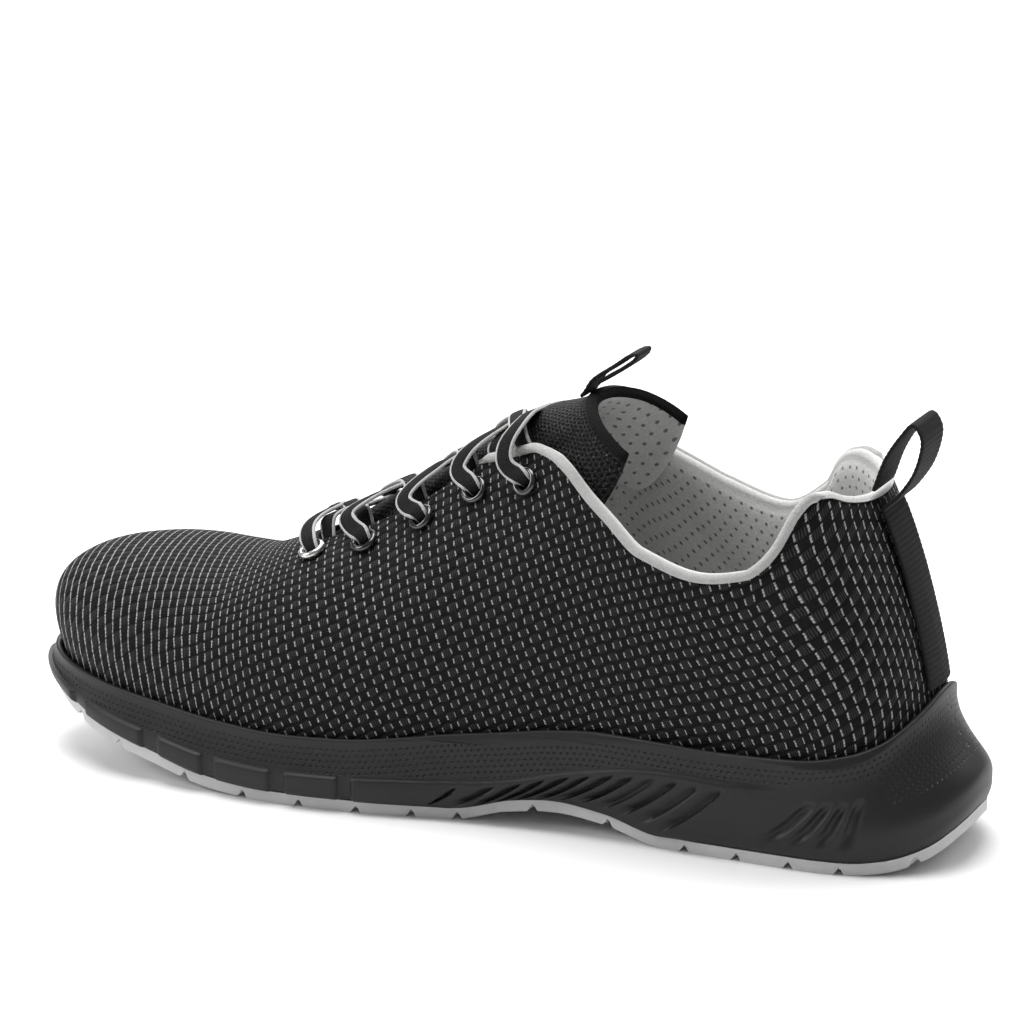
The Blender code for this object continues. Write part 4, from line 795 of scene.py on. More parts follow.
upper = new_piece("woven_upper", grids, faces, flat=maps, sharp=60.0, values={"thread_reach": reaches})
upper.data.materials.append(weave)
medial_face = min(upper.data.polygons, key=lambda face: face.center.y)
if medial_face.normal.y > 0:
    upper.data.flip_normals()
shell = upper.modifiers.new("wall", "SOLIDIFY")
shell.thickness = UPPER_WALL
shell.offset = -1.0
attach(upper, "root")
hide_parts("upper")


# Eyelets
# Ten rolled brass eyelets in black enamel, five a side, punched through the upper and clenched behind it.
# The first one on each side is made of bright grey metal, a painted reflection for the highlight its ring
# catches.
EYELET_STATIONS = (0.690, 0.629, 0.565, 0.508, 0.447)
EYELET_SETBACK, EYELET_BORE, EYELET_BARREL, EYELET_FLANGE = 0.0092, 0.0050, 0.0064, 0.0088
ROLL_RADIUS, ROLL_FOOT, BARREL_DEPTH, CLENCH_DEPTH = 0.0011, 0.0002, 0.0027, 0.0031
PUNCH_REACH, PUNCH_CORNERS = 0.006, 24

# Black enamel baked on metal: dark, with sharp window-like reflections and a fine orange peel.
enamel, tree, surface = new_material("baked_black_enamel", 0.16, ior=1.55)
surface.inputs["Base Color"].default_value = colour("#121213")
surface.inputs["Coat Weight"].default_value = 0.6
surface.inputs["Coat Roughness"].default_value = 0.08
place = add(tree, "ShaderNodeNewGeometry", {})
peel = add(tree, "ShaderNodeTexNoise", {"Vector": place, "Scale": 700.0, "Detail": 2.0})
bump = add(tree, "ShaderNodeBump", {"Strength": 0.08, "Distance": 0.0002, "Height": peel})
tree.links.new(bump, surface.inputs["Normal"])

# Bright grey metal on the first eyelets: its light colour is a painted reflection of the highlight on their
# rings.
painted_reflection_metal, tree, surface = new_material("painted_reflection_grey_metal", 0.24, metallic=1.0)
surface.inputs["Base Color"].default_value = colour("#d2d2d0")
place = add(tree, "ShaderNodeNewGeometry", {})
peel = add(tree, "ShaderNodeTexNoise", {"Vector": place, "Scale": 900.0, "Detail": 3.0})
rough = add(tree, "ShaderNodeMapRange", {0: peel, 3: 0.18, 4: 0.34})
tree.links.new(rough, surface.inputs["Roughness"])


def tube_faces(rows, count, base=0):
    """Faces of a tube with flat ends."""
    last = base + (rows - 1) * count
    ends = [list(range(base, base + count)), list(range(last, last + count))[::-1]]
    return grid_faces(rows, count, ring=True, base=base) + ends


def eyelet_frame(station, side):
    """Place, width direction, length direction and outward direction of an eyelet."""
    across = side * (throat_half(station) + EYELET_SETBACK)
    z = surface_normal(station, across)
    x = unit(np.cross((0.0, 1.0, 0.0), z))
    return closed_surface(station, across), x, np.cross(z, x), z


def spokes(x, y, count):
    """Directions evenly round a circle."""
    return [x * math.cos(angle) + y * math.sin(angle) for angle in np.linspace(0, 2 * math.pi, count + 1)[:-1]]


punch_points, punch_faces = [], []
bore, barrel, flange = EYELET_BORE / 2, EYELET_BARREL / 2, EYELET_FLANGE / 2
roll = (flange - bore) / 2
turn = np.linspace(-0.45 * math.pi, 1.05 * math.pi, 15)
rolled = [(bore + roll + roll * math.cos(a), ROLL_FOOT + ROLL_RADIUS * (1 + math.sin(a))) for a in turn]
outline = [(barrel, -BARREL_DEPTH), (barrel, 0.0004), *rolled, (bore, 0.0004), (bore, -BARREL_DEPTH)]
outline += [(bore + 0.0002, -CLENCH_DEPTH), (barrel, -CLENCH_DEPTH)]
for side, name in ((MEDIAL, "medial"), (LATERAL, "lateral")):
    for number, station in enumerate(EYELET_STATIONS, 1):
        place, x, y, z = eyelet_frame(station, side)
        rings = [[place + spoke * r + z * h for r, h in outline] for spoke in spokes(x, y, 48)]
        rings.append(rings[0])
        faces = grid_faces(len(rings), len(outline), ring=True)
        eyelet = new_piece(f"eyelet_ring_{name}_{number}", rings, faces, sharp=50.0)
        # The first eyelets get the bright metal, a painted reflection; the rest are black enamel.
        eyelet.data.materials.append(painted_reflection_metal if number == 1 else enamel)
        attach(eyelet, "root")
        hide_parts(f"eyelet_{name}_{number}")
        base = len(punch_points)
        for rise in (-PUNCH_REACH, PUNCH_REACH):
            for spoke in spokes(x, y, PUNCH_CORNERS):
                punch_points.append(place + spoke * (barrel + CLEARANCE / 2) + z * rise)
        punch_faces += tube_faces(2, PUNCH_CORNERS, base)
punch = new_piece("eyelet_punch", punch_points, punch_faces)
holes = upper.modifiers.new("holes", "BOOLEAN")
holes.operation = "DIFFERENCE"
holes.solver = "EXACT"
holes.object = punch
baked = bpy.data.meshes.new_from_object(upper.evaluated_get(bpy.context.evaluated_depsgraph_get()))
upper.modifiers.clear()
upper.data = baked
bpy.data.objects.remove(punch)


# Lining and collar padding
# Light grey spacer knit over foam: a soft roll along the collar's edge, thick round the heel, that goes on
# down the inside of the wall to the insole. It is stitched to the upper's top edge and turned in.
COLLAR_BEAD, PADDING_THICKNESS, PADDING_DEPTH, PIPING_END = 0.0026, 0.0052, 0.034, 0.515
LINING_BACKING, LINING_GAP, TURNED_EDGE = 0.0008, 0.0001, 0.0004
LINING = table(
    "station thickness depth",
    (0.000, 1.00, 1.00),
    (0.050, 1.00, 1.00),
    (0.090, 0.95, 0.97),
    (0.120, 0.90, 0.95),
    (0.150, 0.86, 0.93),
    (0.250, 0.60, 0.80),
    (0.310, 0.34, 0.62),
    (0.350, 0.20, 0.40),
    (0.390, 0.14, 0.24),
    (0.450, 0.14, 0.12),
    (0.515, 0.14, 0.08),
)


def wall_frames(station, side, downs):
    """Points of the upper's outer face these distances below its top, and the directions up and out of it."""
    curve = section(station, side)
    downs = np.asarray(downs, float)
    places = along(curve, downs)[0]
    ups = unit(along(curve, np.maximum(downs - 2e-4, 0))[0] - along(curve, downs + 2e-4)[0])
    step = 1e-3
    behind_side = side if station > step else -side
    ahead = along(section(station + step, side), downs)[0]
    behind = along(section(abs(station - step), behind_side), downs)[0]
    return places, ups, unit(side * np.cross(ahead - behind, ups))


collar = np.interp(np.linspace(0, half_run, 150), middle_run, middle_line)
collar = np.union1d(collar, [PIPING_END])
inner = UPPER_WALL + CLEARANCE + FACET_ALLOWANCE
bead = np.linspace(0.5 * math.pi, -0.5 * math.pi, 9)
middle = (inner + 0.0002) / 2
over = -TURNED_EDGE - COLLAR_BEAD * 0.85 * np.cos(bead)
roll = list(zip(over, middle - (middle + TURNED_EDGE) * np.sin(bead)))
strips, maps = [], []
for side in (MEDIAL, LATERAL):
    for station in collar[::-1] if side == MEDIAL else collar[1:]:
        thickness = PADDING_THICKNESS * smooth(LINING, "thickness", station)
        depth = PADDING_DEPTH * smooth(LINING, "depth", station)
        total = along(section(station, side), 0.0)[1]
        reach = max(total - 0.004, depth + 0.004)
        downs = np.linspace(0.0006, reach, 34)
        swell = np.sin(math.pi * np.clip(downs / (1.15 * depth), 0, 1)) ** 0.55
        face = list(zip(downs, inner + LINING_BACKING + thickness * swell))
        back = [(down, inner + LINING_GAP) for down in (reach, reach * 0.5, 0.001)] + [(-TURNED_EDGE, inner)]
        outline = np.array(roll + face + back)
        places, ups, outs = wall_frames(station, side, np.maximum(outline[:, 0], 0.0))
        rise = np.maximum(-outline[:, 0], 0.0)[:, None]
        strips.append(places + ups * rise - outs * outline[:, 1:2])
        u = side * np.interp(station, middle_line, middle_run)
        run = np.cumsum(np.linalg.norm(np.diff(strips[-1], axis=0, prepend=strips[-1][:1]), axis=1))
        run = np.maximum(run - run[len(roll)], 0)
        maps.append(1000 * np.stack([np.full(len(outline), u + 0.5), run + 0.0001], axis=-1))
faces = tube_faces(len(strips), len(strips[0]))
lining = new_piece("collar_lining", strips, faces, flat=maps, sharp=70.0, weld=1e-7)
lining.data.materials.append(knit)
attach(lining, "root")
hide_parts("collar_padding")


# Piping
# A soft cord of 2.9 mm in brushed grey knit, sewn along the collar's outer edge from the fourth eyelet round
# to the heel strap.
PIPING_RADIUS = 0.00145

# Brushed knit on the cord: light grey, its fibres raised along the seam.
brushed, tree, surface = new_material("brushed_knit_piping", 0.95, ior=1.45)
surface.inputs["Sheen Weight"].default_value = 0.35
surface.inputs["Sheen Roughness"].default_value = 0.5
place = add(tree, "ShaderNodeNewGeometry", {})
fur = add(tree, "ShaderNodeTexNoise", {"Vector": place, "Scale": 1500.0, "Detail": 4.0, "Roughness": 0.75})
tone = add(tree, "ShaderNodeMix", {0: fur, 6: colour("#8f8f8e"), 7: colour("#cfcfcd")}, data_type="RGBA")
tree.links.new(tone, surface.inputs["Base Color"])
bump = add(tree, "ShaderNodeBump", {"Strength": 0.8, "Distance": 0.0006, "Height": fur})
tree.links.new(bump, surface.inputs["Normal"])


def sweep(name, path, beside, widths, thicknesses, corners=12, power=2.0):
    """A band of rounded section along a path, with a map in millimetres. beside is its width's direction."""
    path = np.asarray(path, float)
    tangent = unit(np.gradient(path, axis=0))
    across = unit(beside - tangent * np.sum(beside * tangent, axis=1)[:, None])
    normal = np.cross(tangent, across)
    angles = np.linspace(0, 2 * math.pi, corners + 1)[:-1]
    c, s = np.cos(angles), np.sin(angles)
    a = np.sign(c) * np.abs(c) ** (2 / power) / 2
    b = np.sign(s) * np.abs(s) ** (2 / power) / 2
    widths = np.broadcast_to(widths, len(path))
    thicknesses = np.broadcast_to(thicknesses, len(path))
    points = (
        path[:, None]
        + across[:, None] * (a[None] * widths[:, None])[..., None]
        + normal[:, None] * (b[None] * thicknesses[:, None])[..., None]
    )
    run = run_along(path)
    maps = np.broadcast_arrays(run[:, None] + 0.1, (a[None] * widths[:, None]) + 0.05)
    maps = 1000 * np.stack(maps, axis=-1)
    return new_piece(name, points, tube_faces(len(path), corners), flat=maps, sharp=60.0, weld=1e-7)


for side, name in ((MEDIAL, "medial"), (LATERAL, "lateral")):
    path = []
    for station in np.linspace(0.050, PIPING_END, 190):
        places, ups, outs = wall_frames(station, side, [0.0])
        path.append(places[0] + ups[0] * (0.0008 + PIPING_RADIUS * 0.3) + outs[0] * PIPING_RADIUS * 0.25)
    path = np.array(path)
    from_start = np.arange(len(path))
    fade = np.clip(np.minimum(from_start, from_start[::-1]) / 5, 0.25, 1) * 2 * PIPING_RADIUS
    upright = np.tile((0.0, 0.0, 1.0), (len(path), 1))
    piping = sweep(f"collar_piping_{name}", path, upright, fade, fade, corners=14)
    piping.data.materials.append(brushed)
    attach(piping, "root")


# Tongue
# Two layers over 3 mm of foam: black open mesh in front and light grey knit behind. A black tape binds the
# top edge, and the lower end is stitched inside the throat.
TONGUE_THICKNESS, LACE_ROOM, TAPE_WIDTH, TAPE_THICKNESS = 0.0034, 0.0024, 0.0028, 0.0004
TONGUE_CROWN_X, TONGUE_CROWN_HEIGHT, TONGUE_HALF_WIDTH = 0.028, 0.1260, 0.0245
TONGUE_CORNER_SETBACK, TONGUE_CORNER_DROP = 0.019, 0.0125
TONGUE = table(
    "station edge depth crown room",
    (0.745, 0.745, 0.130, 0.000, 0.15),
    (0.722, 0.722, 0.140, 0.000, 0.40),
    (0.690, 0.690, 0.090, 0.040, 0.80),
    (0.650, 0.650, 0.090, 0.068, 1.00),
    (0.600, 0.595, 0.110, 0.075, 1.00),
    (0.560, 0.545, 0.135, 0.066, 1.00),
    (0.520, 0.490, 0.165, 0.064, 1.00),
    (0.487, 0.440, 0.185, 0.074, 1.00),
    (0.463, 0.422, 0.205, 0.086, 1.00),
)


def tongue_edge(share):
    angle = share * math.pi / 2
    setback = 1 - math.cos(angle)
    return np.array(
        [
            TONGUE_CROWN_X + TONGUE_CORNER_SETBACK * setback,
            TONGUE_HALF_WIDTH * math.sin(angle),
            TONGUE_CROWN_HEIGHT - TONGUE_CORNER_DROP * setback,
        ]
    )


def refine(rows, times):
    """More rows on a smooth curve through these rows."""
    rows = np.asarray(rows, float)
    ends = np.concatenate([2 * rows[:1] - rows[1:2], rows, 2 * rows[-1:] - rows[-2:-1]])
    found = []
    for i in range(1, len(ends) - 2):
        a, b, c, d = ends[i - 1 : i + 3]
        for u in np.linspace(0, 1, times, endpoint=False):
            bent = (2 * a - 5 * b + 4 * c - d) * u * u + (3 * b - a - 3 * c + d) * u**3
            found.append(0.5 * (2 * b + (c - a) * u + bent))
    return np.array(found + [rows[-1]])


shares = np.linspace(-1, 1, 25)
rows = []
for station, edge, depth, crown, room in zip(*TONGUE.values()):
    row = []
    for share in shares:
        here = station + (edge - station) * abs(share) ** 1.5
        half = throat_half(here)
        across = share * (half + depth * BALL_WIDTH)
        lift = crown * BALL_WIDTH * max(0.0, 1 - (across / half) ** 2) if crown else 0.0
        row.append(raised(here, across, lift - UPPER_WALL - CLEARANCE - room * LACE_ROOM))
    rows.append(np.array(row))
last = rows[-1]
crest = np.array([tongue_edge(share) for share in shares])
leave = last - rows[-2]
leave *= (np.linalg.norm(crest - last, axis=1) / np.linalg.norm(leave, axis=1))[:, None]
arrive = np.array([(0.55 - 0.30 * abs(s), 0.0, 0.84 + 0.13 * abs(s)) for s in shares])
arrive *= np.linalg.norm(crest - last, axis=1)[:, None]
for u in np.linspace(0, 1, 6)[1:]:
    rows.append(
        (1 + 2 * u) * (1 - u) ** 2 * last
        + u * (1 - u) ** 2 * leave
        + u * u * (3 - 2 * u) * crest
        - u * u * (1 - u) * arrive
    )
coarse = np.array(rows)
front = refine(coarse, 6)
front = refine(front.swapaxes(0, 1), 3).swapaxes(0, 1)
slope_up, slope_across = np.gradient(front, axis=0), np.gradient(front, axis=1)
facing = unit(np.cross(slope_across, slope_up))
if facing[len(facing) // 2, facing.shape[1] // 2, 2] < 0:
    facing = -facing
rows, columns = front.shape[:2]
from_side = np.minimum(np.arange(columns), np.arange(columns)[::-1]) / 5.0
from_top = (rows - 1 - np.arange(rows)) / 4.0
side_round, top_round = (np.sqrt(1 - (1 - np.clip(steps, 0, 1)) ** 2) for steps in (from_side, from_top))
roundness = side_round[None] * top_round[:, None]
outer = front - facing * (TONGUE_THICKNESS / 2 * (1 - roundness))[..., None]
inner = front - facing * (TONGUE_THICKNESS / 2 * (1 + roundness))[..., None]
middle = columns // 2
run_up = run_along(front[:, middle])
run_across = np.cumsum(np.linalg.norm(np.diff(front, axis=1, prepend=front[:, :1]), axis=2), axis=1)
from_middle = run_across - run_across[:, middle : middle + 1]
flat = 1000 * np.stack(np.broadcast_arrays(from_middle + 0.1, run_up[:, None]), axis=-1)

# Open polyester mesh over black foam: black yarn with a slight gloss, in rounded cells 1.5 mm apart. The cells
# are painted darker than the yarn as shade over the black foam, and light specks on the yarn are painted
# glints.
MESH_PITCH, MESH_ROW = 1.75, 1.25
mesh_cloth, tree, surface = new_material("open_polyester_mesh", 0.60, ior=1.46)
surface.inputs["Specular IOR Level"].default_value = 0.14
spot = spot_distance(tree, MESH_PITCH, MESH_ROW)
cell = add(tree, "ShaderNodeMapRange", {0: spot, 1: 0.20, 2: 0.42}, interpolation_type="SMOOTHSTEP")
place = add(tree, "ShaderNodeNewGeometry", {})
yarn = add(tree, "ShaderNodeTexNoise", {"Vector": place, "Scale": 1900.0, "Detail": 3.0})
# Painted highlight: light grey glints on the yarn where the noise is high.
painted_glint = add(tree, "ShaderNodeMapRange", {0: yarn, 1: 0.55, 2: 0.72})
painted_glint = add(tree, "ShaderNodeMath", {0: painted_glint, 1: cell}, operation="MULTIPLY")
# Painted shade: the open cells are coloured near black, darker than the black yarn.
dark = add(tree, "ShaderNodeMix", {0: cell, 6: colour("#030303"), 7: colour("#171718")}, data_type="RGBA")
tone = add(tree, "ShaderNodeMix", {0: painted_glint, 6: dark, 7: colour("#5c5c5e")}, data_type="RGBA")
tree.links.new(tone, surface.inputs["Base Color"])
relief = add(tree, "ShaderNodeMath", {0: yarn, 1: 0.4, 2: cell}, operation="MULTIPLY_ADD")
bump = add(tree, "ShaderNodeBump", {"Strength": 0.9, "Distance": 0.0005, "Height": relief})
tree.links.new(bump, surface.inputs["Normal"])

# Black grosgrain binding tape, finely ribbed across its width.
TAPE_RIB = 0.7
tape, tree, surface = new_material("grosgrain_binding_tape", 0.85, ior=1.46)
surface.inputs["Specular IOR Level"].default_value = 0.15
run_on_tape = cloth_place(tree)[0]
ribs = add(tree, "ShaderNodeMath", {0: run_on_tape, 1: 2 * math.pi / TAPE_RIB}, operation="MULTIPLY")
ribs = add(tree, "ShaderNodeMath", {0: ribs}, operation="SINE")
place = add(tree, "ShaderNodeNewGeometry", {})
yarn = add(tree, "ShaderNodeTexNoise", {"Vector": place, "Scale": 1500.0, "Detail": 3.0})
tone = add(tree, "ShaderNodeMix", {0: yarn, 6: colour("#050506"), 7: colour("#1b1b1c")}, data_type="RGBA")
tree.links.new(tone, surface.inputs["Base Color"])
relief = add(tree, "ShaderNodeMath", {0: ribs, 1: 0.4, 2: yarn}, operation="MULTIPLY_ADD")
bump = add(tree, "ShaderNodeBump", {"Strength": 0.7, "Distance": 0.0003, "Height": relief})
tree.links.new(bump, surface.inputs["Normal"])

count = rows * columns
faces = [grid_faces(rows, columns), grid_faces(rows, columns, base=count)]
faces.append([[j, j + 1, j + 1 + count, j + count] for j in range(columns - 1)])
slots = np.repeat([0, 1, 0], [len(part) for part in faces]).tolist()
points, flats = np.concatenate([outer, inner]), np.concatenate([flat, flat])
tongue = new_piece("tongue_mesh_and_lining", points, sum(faces, []), flat=flats, sharp=75.0, slots=slots)
for finish in (mesh_cloth, knit):
    tongue.data.materials.append(finish)
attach(tongue, "root")
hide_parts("tongue")

turned = np.linspace(0.0, TAPE_WIDTH, 5)
strips, maps = [], []
for j in range(columns):
    out = facing[-1, j]
    folds = []
    for face, way in ((outer, 1), (inner, -1)):
        run_down = run_along(face[::-1, j])
        level = np.stack([np.interp(turned, run_down, face[::-1, j, k]) for k in range(3)], axis=-1)
        folds.append(level + way * out * TAPE_THICKNESS)
    before, behind = folds
    fold = front[-1, j] - out * TONGUE_THICKNESS / 2 + unit(front[-1, j] - front[-3, j]) * TAPE_THICKNESS
    sunk = 1.3 * TAPE_THICKNESS * out
    ring = [*before[::-1], fold, *behind, *(behind[::-1] + sunk), *(before - sunk)]
    strips.append(ring)
    flat = [np.full(len(ring), run_across[-1, j] + 0.1), np.arange(len(ring)) * 0.0005]
    maps.append(1000 * np.stack(flat, axis=-1))
faces = tube_faces(columns, len(strips[0]))
binding = new_piece("tongue_binding_tape", strips, faces, flat=maps, sharp=75.0, weld=1e-7)
binding.data.materials.append(tape)
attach(binding, "root")


# Heel strap and tongue loop
# Black polyester webbing with a strong cross rib, 18 mm and 11 mm wide. The heel strap is sewn up the back
# seam and folded over into a pull loop. The short band on the tongue is folded double.
STRAP_WIDTH, STRAP_THICKNESS, RIB_PITCH = 0.018, 0.0013, 0.0016
HEEL_LOOP_HEIGHT, HEEL_LOOP_LEAN, HEEL_LOOP_SPREAD = 0.0240, 0.0110, 0.0055
HEEL_CURVE = 0.036
TONGUE_LOOP_WIDTH, TONGUE_LOOP_LENGTH, TONGUE_LOOP_OPENING, TONGUE_LOOP_SLOPE = 0.0110, 0.0185, 0.0042, 34.0

# Webbing: dull black yarn, each rib rounded, with fine filaments along it.
webbing, tree, surface = new_material("ribbed_polyester_webbing", 0.70, ior=1.46)
surface.inputs["Specular IOR Level"].default_value = 0.14
uv = add(tree, "ShaderNodeUVMap", {}, uv_map="cloth")
stretched = add(tree, "ShaderNodeVectorMath", {0: uv, 1: (0.9, 3.2, 1.0)}, operation="MULTIPLY")
yarn = add(tree, "ShaderNodeTexNoise", {"Vector": stretched, "Scale": 1.6, "Detail": 3.0})
tone = add(tree, "ShaderNodeMix", {0: yarn, 6: colour("#08080a"), 7: colour("#262627")}, data_type="RGBA")
tree.links.new(tone, surface.inputs["Base Color"])
bump = add(tree, "ShaderNodeBump", {"Strength": 0.7, "Distance": 0.0003, "Height": yarn})
tree.links.new(bump, surface.inputs["Normal"])


def webbing_band(name, path, width):
    """A band of webbing along a path in the shoe's middle plane, its ribs modelled."""
    path = np.asarray(path, float)
    run = run_along(path)
    even = np.linspace(0, run[-1], int(run[-1] / RIB_PITCH * 7))
    path = np.stack([np.interp(even, run, path[:, k]) for k in range(3)], axis=-1)
    path[2:-2] = (path[:-4] + path[1:-3] + path[2:-2] + path[3:-1] + path[4:]) / 5
    rib = np.abs(np.sin(math.pi * even / RIB_PITCH)) ** 0.7
    beside = np.tile((0.0, 1.0, 0.0), (len(path), 1))
    widths, thicknesses = width * (0.985 + 0.015 * rib), STRAP_THICKNESS * (0.72 + 0.28 * rib)
    return sweep(name, path, beside, widths, thicknesses, corners=20, power=7.0)


curve = section(0.0, LATERAL)
lower = []
for u in np.linspace(0.02, 1.0, 19):
    run_here = bezier(curve, min(u + 0.01, 1.0)) - bezier(curve, u - 0.01)
    away = unit(np.array([run_here[2], 0.0, -run_here[0]]))
    lower.append(bezier(curve, u) + away * (CLEARANCE + STRAP_THICKNESS / 2) * (1 + 0.8 * u))
start = curve[3] + (0.0044, 0.0, 0.0)
rest = curve[3] + (-0.0004, 0.0, COLLAR_BEAD + CLEARANCE + STRAP_THICKNESS * 0.5)
tip = curve[3] + (HEEL_LOOP_LEAN, 0.0, HEEL_LOOP_HEIGHT)
bend = HEEL_LOOP_SPREAD
loop = [
    start + (0.46 * bend, 0.0, 0.10 * HEEL_LOOP_HEIGHT),
    tip + (0.00 * bend, 0.0, -0.65 * HEEL_LOOP_HEIGHT),
    tip + (0.40 * bend, 0.0, -0.40 * HEEL_LOOP_HEIGHT),
    tip + (0.50 * bend, 0.0, -0.16 * HEEL_LOOP_HEIGHT),
    tip,
    tip + (-0.60 * bend, 0.0, -0.14 * HEEL_LOOP_HEIGHT),
    tip + (-1.45 * bend, 0.0, -0.45 * HEEL_LOOP_HEIGHT),
    rest,
]
strap = webbing_band("heel_strap_webbing", refine(lower[:-1] + [start] + loop, 8), STRAP_WIDTH)
for vertex in strap.data.vertices:
    low_down = 1 - ease(vertex.co.z, 0.6 * curve[3][2], curve[3][2])
    vertex.co.x -= low_down * vertex.co.y**2 / (2 * HEEL_CURVE)
strap.data.materials.append(webbing)
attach(strap, "root")
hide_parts("heel_pull_strap")

middle = coarse.shape[1] // 2
seat, crest_point = coarse[-2, middle], coarse[-1, middle]
run_here = unit(crest_point - seat)
lift = unit(np.array([-run_here[2], 0.0, run_here[0]]))
off = CLEARANCE + STRAP_THICKNESS / 2
slope = math.radians(TONGUE_LOOP_SLOPE)
forward = np.array([math.cos(slope), 0.0, math.sin(slope)])
above = np.array([-math.sin(slope), 0.0, math.cos(slope)])
loop = [seat + lift * off, seat + (crest_point - seat) * 0.6 + lift * (off + 0.3 * STRAP_THICKNESS)]
shape = ((0.12, 0.10), (0.50, 0.14), (0.85, 0.20), (1.00, 0.02), (0.88, -0.24), (0.50, -0.30), (0.18, -0.26))
for share, rise in shape:
    loop.append(
        crest_point
        + lift * off
        + forward * TONGUE_LOOP_LENGTH * share
        + above * (rise * TONGUE_LOOP_OPENING + STRAP_THICKNESS)
    )
band = webbing_band("tongue_loop_webbing", refine(loop, 8), TONGUE_LOOP_WIDTH)
band.data.materials.append(webbing)
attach(band, "root")
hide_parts("tongue_pull_loop")


# Lace
# One flat black braid, nearly 6 mm wide, with a light grey cord woven into both edges. It lies as a bar over
# the first eyelets, goes down through them, and crosses up to the fifth pair, where its ends stop inside.
LACE_WIDTH, LACE_THICKNESS, LACE_EDGE, LACE_STEPS = 0.0058, 0.0015, 0.0011, 16
LACE_BAR_ARCH, LACE_BAR_LEAD, LACE_LIFT, LACE_EYELET_GAP, LACE_TUCK = 0.0036, 0.013, 0.0019, 0.0012, 0.0030
EYELET_FLANGE_THICKNESS, LACE_STEP, LACE_SMOOTHING = 0.0012, 0.0005, 14
THROAT_RUN = np.array([-1.0, 0.0, -0.5])
LACE_DIVE, BAR_LIFT, PLAIT_PITCH = 0.0050, 0.0027, 1.1
STRANDS = table(
    "side start end lead edge_rise rise end_rise",
    (MEDIAL, 0.688, 0.645, 0.000, 0.0026, 0.0014, 0.0026),
    (LATERAL, 0.688, 0.645, 0.000, 0.0026, 0.0026, 0.0028),
    (MEDIAL, 0.629, 0.583, 0.024, 0.0034, 0.0014, 0.0018),
    (LATERAL, 0.629, 0.583, 0.024, 0.0022, 0.0026, 0.0022),
    (MEDIAL, 0.565, 0.526, 0.022, 0.0022, 0.0008, 0.0028),
    (LATERAL, 0.565, 0.526, 0.022, 0.0018, 0.0016, 0.0028),
    (MEDIAL, 0.508, 0.461, 0.020, 0.0012, 0.0022, 0.0018),
    (LATERAL, 0.508, 0.461, 0.020, 0.0012, 0.0034, 0.0030),
    (MEDIAL, 0.447, 0.478, 0.018, 0.0028, 0.0024, 0.0000),
    (LATERAL, 0.447, 0.496, 0.020, 0.0004, 0.0022, 0.0000),
)

# Braided polyester: black yarn in fine diagonal plaits, painted lighter on their crests and darker between them
# as light and shade.
braid, tree, surface = new_material("braided_polyester_lace", 0.70, ior=1.46)
surface.inputs["Specular IOR Level"].default_value = 0.14
line, row = cloth_place(tree)
plait_relief_and_shade = 1.0
for way in ("ADD", "SUBTRACT"):
    yarns = add(tree, "ShaderNodeMath", {0: line, 1: row}, operation=way)
    yarns = add(tree, "ShaderNodeMath", {0: yarns, 1: 2 * math.pi / PLAIT_PITCH}, operation="MULTIPLY")
    yarns = add(tree, "ShaderNodeMath", {0: yarns}, operation="SINE")
    plait_relief_and_shade = add(tree, "ShaderNodeMath", {0: plait_relief_and_shade, 1: yarns}, operation="MULTIPLY")
plait_relief_and_shade = add(tree, "ShaderNodeMapRange", {0: plait_relief_and_shade, 1: -1.0, 2: 1.0})
place = add(tree, "ShaderNodeNewGeometry", {})
yarn = add(tree, "ShaderNodeTexNoise", {"Vector": place, "Scale": 2200.0, "Detail": 2.0})
# Painted light and shade: the plaits' crests are coloured lighter than the hollows between them.
tone = add(tree, "ShaderNodeMath", {0: plait_relief_and_shade, 1: yarn}, operation="MULTIPLY")
tone = add(tree, "ShaderNodeMix", {0: tone, 6: colour("#070708"), 7: colour("#39393b")}, data_type="RGBA")
tree.links.new(tone, surface.inputs["Base Color"])
bump = add(tree, "ShaderNodeBump", {"Strength": 0.8, "Distance": 0.0003, "Height": plait_relief_and_shade})
tree.links.new(bump, surface.inputs["Normal"])


def lace_path(side, start_station, end_station, lead, edge_rise, rise, end_rise):
    """Stations, distances across and heights of one strand, from its eyelet to where it goes in underneath."""
    half = throat_half(start_station)
    start = half + (EYELET_SETBACK - LACE_EYELET_GAP if lead else -LACE_TUCK)
    end = throat_half(end_station) - LACE_TUCK
    edge = max(start - half, 0.0) / (start + end)
    u = np.linspace(0, 1, LACE_STEPS)
    crossed = np.maximum((u - edge) / (1 - edge), 0.0)
    station = start_station + (end_station - start_station) * crossed
    lift = LACE_LIFT + rise * np.sin(math.pi * crossed) ** 0.7
    over_edge = edge_rise * (1 - ease(crossed, 0.1, 0.6))
    if lead:
        station = station + lead * np.sin(math.pi * np.minimum(u / (2 * edge), 1.0))
        lift = lift + EYELET_FLANGE_THICKNESS * (1 - ease(u, 0.1, 0.4))
        over_edge = over_edge * ease(u, 0.2 * edge, edge)
    lift = lift + over_edge
    return np.stack([station, side * (start - u * (start + end)), lift], axis=-1)


def through_eyelet(station, side):
    """The lace's way out of an eyelet: inside the wall, in the bore and just outside."""
    across = side * (throat_half(station) + EYELET_SETBACK)
    return np.array([(station, across, rise) for rise in (-0.0034, -0.0006, 0.0014)])


